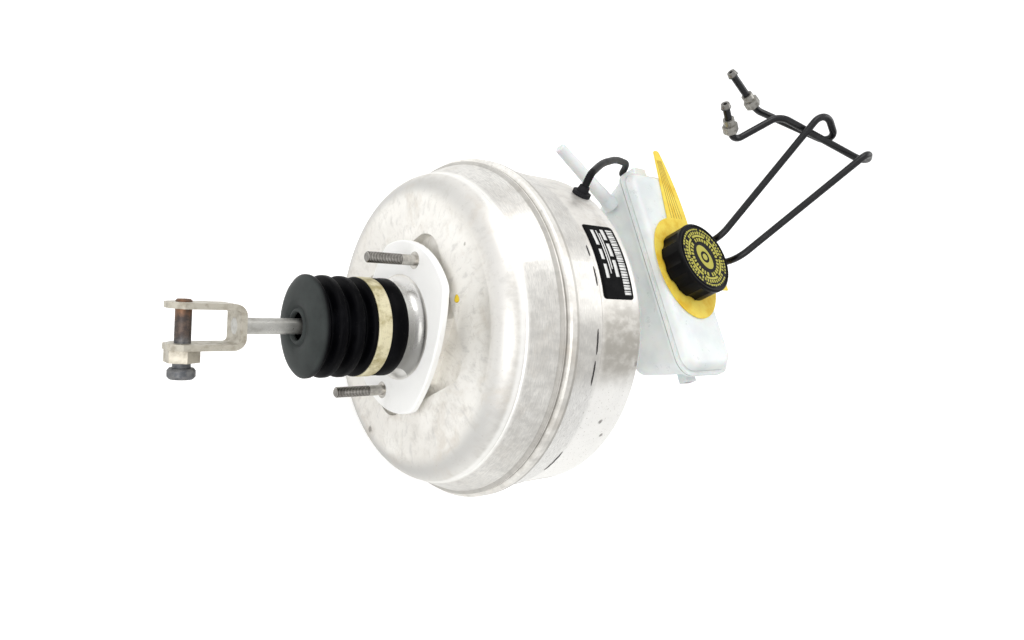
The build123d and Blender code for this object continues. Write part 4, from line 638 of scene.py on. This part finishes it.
def boot_profile():
    """Bellows from the lip round the push rod, over its folds, to the sleeve on the neck."""
    outer = [(-0.0792, 0.0099), (-0.0814, 0.0101), (-0.0819, 0.0111), (-0.0815, 0.0122),
             (-0.0797, 0.0128), (-0.0797, 0.0142), (-0.0811, 0.0149), (-0.0812, 0.0205),
             (-0.0809, 0.0245), (-0.0802, 0.0287), (-0.0791, 0.0322), (-0.0778, 0.0348)]
    steps = 64
    for step in range(steps + 1):
        x = BOOT_CREST + (SLEEVE_START - BOOT_CREST) * step / steps
        valley = (0.5 + 0.5 * cos(2 * pi * (x - FIRST_VALLEY) / FOLD_PITCH)) ** 2.2
        ends = min(1.0, (x - BOOT_CREST) / 0.003)
        outer.append((x, BOOT_RADIUS - FOLD_DEPTH * valley * max(0.0, ends)))
    outer += [(-0.0372, BOOT_RADIUS - 0.0006), (-0.037, BOOT_RADIUS - 0.0016),
              (-0.0265, BOOT_RADIUS - 0.0016), (-0.0263, BOOT_RADIUS - 0.0003),
              (-0.0185, BOOT_RADIUS - 0.0003), (-0.0175, BOOT_RADIUS), (-0.0138, BOOT_RADIUS),
              (-0.0126, BOOT_RADIUS - 0.0009),
              (-0.0125, NECK_RADIUS + 0.0001)]
    inner = [(-0.037, NECK_RADIUS + 0.0001), (-0.039, 0.0278), (-0.0755, 0.0278), (-0.0775, 0.0262),
             (-0.0785, 0.0202), (-0.0785, 0.0101)]
    return outer + inner


boot = turned_piece("bellows", boot_profile(), BOOT, None, 128)
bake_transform(boot)
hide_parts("boot")

# ---------------------------------------------------------------- prints on the drum
STICKER_X = (0.0912, 0.1235)
STICKER_TURN = (radians(-15.0), radians(12.0))
STICKER_CORNER = 0.045              # share of the sticker's length


def sticker_edge(turn):
    """Draws the sticker in at its four rounded corners."""
    near = min(turn, 1 - turn) / STICKER_CORNER
    inset = 0.085 * (1 - sqrt(1 - (1 - near) ** 2)) if near < 1 else 0.0
    return inset, 1 - inset


drum_patch("sticker", DRUM_R, STICKER_X, STICKER_TURN, STICKER, (8, 88), sticker_edge)


def sticker_field(name, across, along):
    """Blank white field, from shares of the sticker's width and length."""
    spans = [STICKER_X[0] + (STICKER_X[1] - STICKER_X[0]) * share for share in across]
    turns = [STICKER_TURN[0] + (STICKER_TURN[1] - STICKER_TURN[0]) * share for share in along]
    drum_patch(name, DRUM_R + PATCH_THICK, spans, turns, STICKER_FIELD, (2, 12))


# Each row: its span across the sticker, then where each bar starts and stops along it
STICKER_ROWS = ((0.2, 0.3, (0.08, 0.3, 0.36, 0.5, 0.56, 0.74)), (0.37, 0.405, (0.08, 0.68)),
                (0.44, 0.475, (0.12, 0.62)), (0.53, 0.64, (0.06, 0.22, 0.27, 0.45, 0.5, 0.72)))
STRIPES_ACROSS = (0.72, 0.93)
STRIPES_END = 0.92


def sticker_fields():
    """Rows of short blank bars, two thin rules and a column of plain stripes."""
    for row, (near, far, stops) in enumerate(STICKER_ROWS):
        for bar, (start, stop) in enumerate(zip(stops[::2], stops[1::2])):
            sticker_field(f"sticker_bar_{row}_{bar}", (near, far), (start, stop))
    start, stripe = 0.06, 0
    while start < STRIPES_END:
        width = DRAUGHTER.choice((0.012, 0.02, 0.03))
        sticker_field(f"sticker_stripe_{stripe}", STRIPES_ACROSS, (start, start + width))
        start += width + DRAUGHTER.choice((0.009, 0.014))
        stripe += 1


sticker_fields()


DASH_STEPS = 32
DASH_WIDTH = 0.0023
# Each pen dash: its X, then where it starts and stops in degrees from +Z towards -Y
DASHES = ((0.084, -6.0, -2.0), (0.0845, 1.5, 8.0), (0.0815, 21.5, 29.5), (0.0812, 31.5, 39.5),
          (0.0845, 66.0, 77.5))


def dash_edge(seed):
    """Edge function of a ragged pen stroke, narrow at both ends."""
    wander = random.Random(seed)
    offsets = [wander.uniform(0.0, 0.35) for _ in range(DASH_STEPS)]

    def edge(turn):
        swell = min(1.0, 6 * turn, 6 * (1 - turn)) * 0.5 + 0.12
        middle = 0.35 + 0.3 * offsets[int(turn * (DASH_STEPS - 1))]
        return middle - swell * 0.45, middle + swell * 0.45
    return edge


for index, (x, start, stop) in enumerate(DASHES):
    drum_patch(f"pen_dash_{index}", DRUM_REAR_R, (x, x + DASH_WIDTH), (radians(start), radians(stop)),
               MARK, (2, 20), dash_edge(index))


# ---------------------------------------------------------------- cap print
# Rings of blocks: inner and outer radius, how many places, and the gap's share of a place
PRINT_RINGS = ((0.0263, 0.0282, 54, 0.22), (0.0222, 0.0252, 46, 0.3), (0.0152, 0.0188, 30, 0.3))
BADGE_HALF = (0.0122, 0.0088)
BADGE_TURN = radians(-60.0)
# Tag's ruled lines: their near and far ends from the cap's centre, and how far they spread
RULE_NEAR, RULE_NEAR_SPREAD = (-0.0032, 0.050), 0.0262
RULE_FAR, RULE_FAR_SPREAD = (0.0068, 0.112), 0.0098


def ring_sector(name, inner, outer, start, stop, height, steps):
    """Flat printed sector on the cap's top."""
    angles = [start + (stop - start) * step / steps for step in range(steps + 1)]
    outline = [(inner, a) for a in angles] + [(outer, a) for a in reversed(angles)]

    def place(r, a, lift):
        return (CAP_CENTRE[0] + r * cos(a), CAP_CENTRE[1] + r * sin(a), height + lift)
    return slab(name, outline, place, CAP_PRINT_THICK, PRINT, "cap")


def cap_print():
    """Generic print: rings of short blocks, plain arcs and an oval badge with a ring in it."""
    top = CAP_TOP + 0.00002
    for ring, (inner, outer, count, gap) in enumerate(PRINT_RINGS):
        for block in range(count):
            if block % 12 == 5 * ring:
                continue
            width = 2 * pi / count
            start = width * (block + DRAUGHTER.uniform(0.02, 0.12))
            stop = start + width * (1 - gap - DRAUGHTER.uniform(0.0, 0.2))
            ring_sector(f"cap_block_{ring}_{block}", inner, outer - DRAUGHTER.uniform(0, 0.0006), start, stop,
                        top, 2)
    for arc in range(6):
        start = arc * pi / 3 + 0.12
        ring_sector(f"cap_arc_{arc}", 0.0196, 0.0216, start, start + pi / 3 - 0.16, top, 8)
    angles = [2 * pi * step / 40 for step in range(40)]
    oval = [(BADGE_HALF[0] * cos(a), BADGE_HALF[1] * sin(a)) for a in angles]

    def place(u, v, lift):
        return (CAP_CENTRE[0] + u * cos(BADGE_TURN) - v * sin(BADGE_TURN),
                CAP_CENTRE[1] + u * sin(BADGE_TURN) + v * cos(BADGE_TURN), top + lift)
    slab("cap_badge", oval, place, CAP_PRINT_THICK, PRINT, "cap")
    slab("cap_badge_ring", [(0.46 * u, 0.62 * v) for u, v in oval], lambda u, v, h: place(u, v, h + 0.00009),
         0.00005, CAP, "cap")
    slab("cap_badge_eye", [(0.26 * u, 0.35 * v) for u, v in oval], lambda u, v, h: place(u, v, h + 0.00015),
         0.00005, PRINT, "cap")


cap_print()


def tag_rules():
    """Five ruled lines along the tag's blade."""
    for line in range(5):
        share = 0.2 + 0.15 * line
        low = (CAP_CENTRE[0] + RULE_NEAR[0] + RULE_NEAR_SPREAD * share, CAP_CENTRE[1] + RULE_NEAR[1])
        high = (CAP_CENTRE[0] + RULE_FAR[0] + RULE_FAR_SPREAD * share, CAP_CENTRE[1] + RULE_FAR[1])

        def place(u, v, lift, low=low, high=high):
            return (low[0] + (high[0] - low[0]) * v + u, low[1] + (high[1] - low[1]) * v,
                    TAG_TOP + 0.00003 + lift)
        slab(f"tag_rule_{line}", [(-0.0003, 0), (0.0003, 0), (0.0003, 1), (-0.0003, 1)], place, 0.00006,
             TAG_LINE, "tag")


tag_rules()


# ---------------------------------------------------------------- paint dot beside the plate
DOT_AT = Vector((0.0090, -0.0042, 0.0660))
DOT_RADIUS = 0.0030
DOT_HEIGHT = 0.0006


def paint_dot():
    """A dab of yellow paint, slightly domed."""
    corners, faces = [(DOT_AT.x - DOT_HEIGHT, DOT_AT.y, DOT_AT.z)], []
    rings, around = 3, 20
    for ring in range(1, rings + 1):
        share = ring / rings
        for step in range(around):
            angle = 2 * pi * step / around
            wobble = 1 + 0.08 * sin(3 * angle + 0.6)
            reach = DOT_RADIUS * share * wobble
            corners.append((DOT_AT.x - DOT_HEIGHT * (1 - share ** 2), DOT_AT.y + reach * cos(angle),
                            DOT_AT.z + reach * sin(angle)))
    faces += [(0, 1 + s, 1 + (s + 1) % around) for s in range(around)]
    for ring in range(rings - 1):
        here, ahead = 1 + ring * around, 1 + (ring + 1) * around
        faces += [(here + s, ahead + s, ahead + (s + 1) % around, here + (s + 1) % around)
                  for s in range(around)]
    last = 1 + (rings - 1) * around
    faces.append(tuple(last + s for s in range(around)))
    outward(piece("paint_dot", corners, faces, DOT, "root"))


paint_dot()


# ---------------------------------------------------------------- stage, light and camera
FLOOR_HALF = 12.0
FLOOR_SHADE = 0.86
FLOOR_LIFT = 0.44                   # own glow, so that the floor looks near white
FLOOR_GAP = 0.0002


def stage_material(name, shade, lift):
    """Plain pale surface: near white to the camera, darker where metal mirrors it."""
    finish = Finish(name, (shade, shade, shade, 1.0), 0.9)
    paths = finish.node("ShaderNodeLightPath").outputs
    glossy = paths["Is Glossy Ray"]
    finish.color(finish.mix(glossy, (shade, shade, shade, 1.0), (0.8, 0.8, 0.79, 1.0)))
    glow = finish.node("ShaderNodeEmission")
    seen = finish.math("MAXIMUM", paths["Is Camera Ray"], paths["Is Transmission Ray"])
    seen = finish.math("MAXIMUM", seen, finish.math("MULTIPLY", glossy, 0.7))
    finish.feed(glow.inputs["Strength"], finish.math("MULTIPLY", seen, lift))
    both = finish.node("ShaderNodeAddShader")
    finish.feed(both.inputs[0], finish.shader.outputs[0])
    finish.feed(both.inputs[1], glow.outputs[0])
    finish.feed(finish.tree.nodes["Material Output"].inputs["Surface"], both.outputs[0])
    return finish.material


def add_stage():
    """A pale floor just under the part."""
    floor_z = CAD_BOX[0][2] - FLOOR_GAP
    corners = [(x * FLOOR_HALF, y * FLOOR_HALF, floor_z) for x, y in ((-1, -1), (1, -1), (1, 1), (-1, 1))]
    piece("floor", corners, [(0, 1, 2, 3)], stage_material("floor", FLOOR_SHADE, FLOOR_LIFT), None)


def add_world():
    """White surroundings, brighter to the camera and in mirrored metal than as light."""
    world = bpy.data.worlds.new("studio")
    bpy.context.scene.world = world
    world.use_nodes = True
    tree = world.node_tree
    paths = tree.nodes.new("ShaderNodeLightPath").outputs
    seen = tree.nodes.new("ShaderNodeMath")
    seen.operation = "MAXIMUM"
    tree.links.new(paths["Is Camera Ray"], seen.inputs[0])
    tree.links.new(paths["Is Glossy Ray"], seen.inputs[1])
    span = tree.nodes.new("ShaderNodeMapRange")
    tree.links.new(seen.outputs[0], span.inputs["Value"])
    span.inputs["To Min"].default_value = 0.72
    span.inputs["To Max"].default_value = 1.0
    # Brighter behind the push rod, where the window is, than beyond the reservoir.
    direction = tree.nodes.new("ShaderNodeSeparateXYZ")
    tree.links.new(tree.nodes.new("ShaderNodeTexCoord").outputs["Generated"], direction.inputs[0])
    slope = tree.nodes.new("ShaderNodeMapRange")
    tree.links.new(direction.outputs[0], slope.inputs["Value"])
    for socket, value in (("From Min", -1.0), ("From Max", 1.0), ("To Min", 1.16), ("To Max", 0.8)):
        slope.inputs[socket].default_value = value
    strength = tree.nodes.new("ShaderNodeMath")
    strength.operation = "MULTIPLY"
    tree.links.new(span.outputs[0], strength.inputs[0])
    tree.links.new(slope.outputs[0], strength.inputs[1])
    background = tree.nodes["Background"]
    background.inputs["Color"].default_value = (1.0, 1.0, 1.0, 1.0)
    tree.links.new(strength.outputs[0], background.inputs["Strength"])


def add_lamp(name, at, aim, size, power):
    """A rectangular area lamp at a place, aimed at another."""
    lamp = bpy.data.lights.new(name, "AREA")
    lamp.shape = "RECTANGLE"
    lamp.size, lamp.size_y = size
    lamp.energy = power
    made = bpy.data.objects.new(name, lamp)
    bpy.context.scene.collection.objects.link(made)
    made.location = at
    made.rotation_euler = (Vector(aim) - Vector(at)).to_track_quat("-Z", "Y").to_euler()


def add_camera():
    """The photograph's camera."""
    lens = bpy.data.cameras.new("camera")
    lens.lens = CAMERA_LENS
    lens.sensor_width = CAMERA_SENSOR
    lens.clip_start = 0.01
    made = bpy.data.objects.new("camera", lens)
    bpy.context.scene.collection.objects.link(made)
    right, down, ahead = Vector(CAMERA_RIGHT), Vector(CAMERA_DOWN), Vector(CAMERA_FORWARD)
    turn = Matrix((right, -down, -ahead)).transposed()
    made.matrix_world = Matrix.Translation(CAMERA_AT) @ turn.to_4x4()
    bpy.context.scene.camera = made


add_stage()
add_world()
add_lamp("key", (-0.2, 0.75, 1.1), (0.05, 0, 0), (0.9, 0.7), 5.5)
add_lamp("fill", (-0.9, -0.5, 0.7), (0.05, 0, 0), (0.8, 0.8), 4.5)
add_lamp("rim", (0.9, 0.1, 0.8), (0.1, 0, 0), (0.6, 0.6), 2.0)
add_camera()
bpy.context.scene.view_settings.view_transform = "Standard"
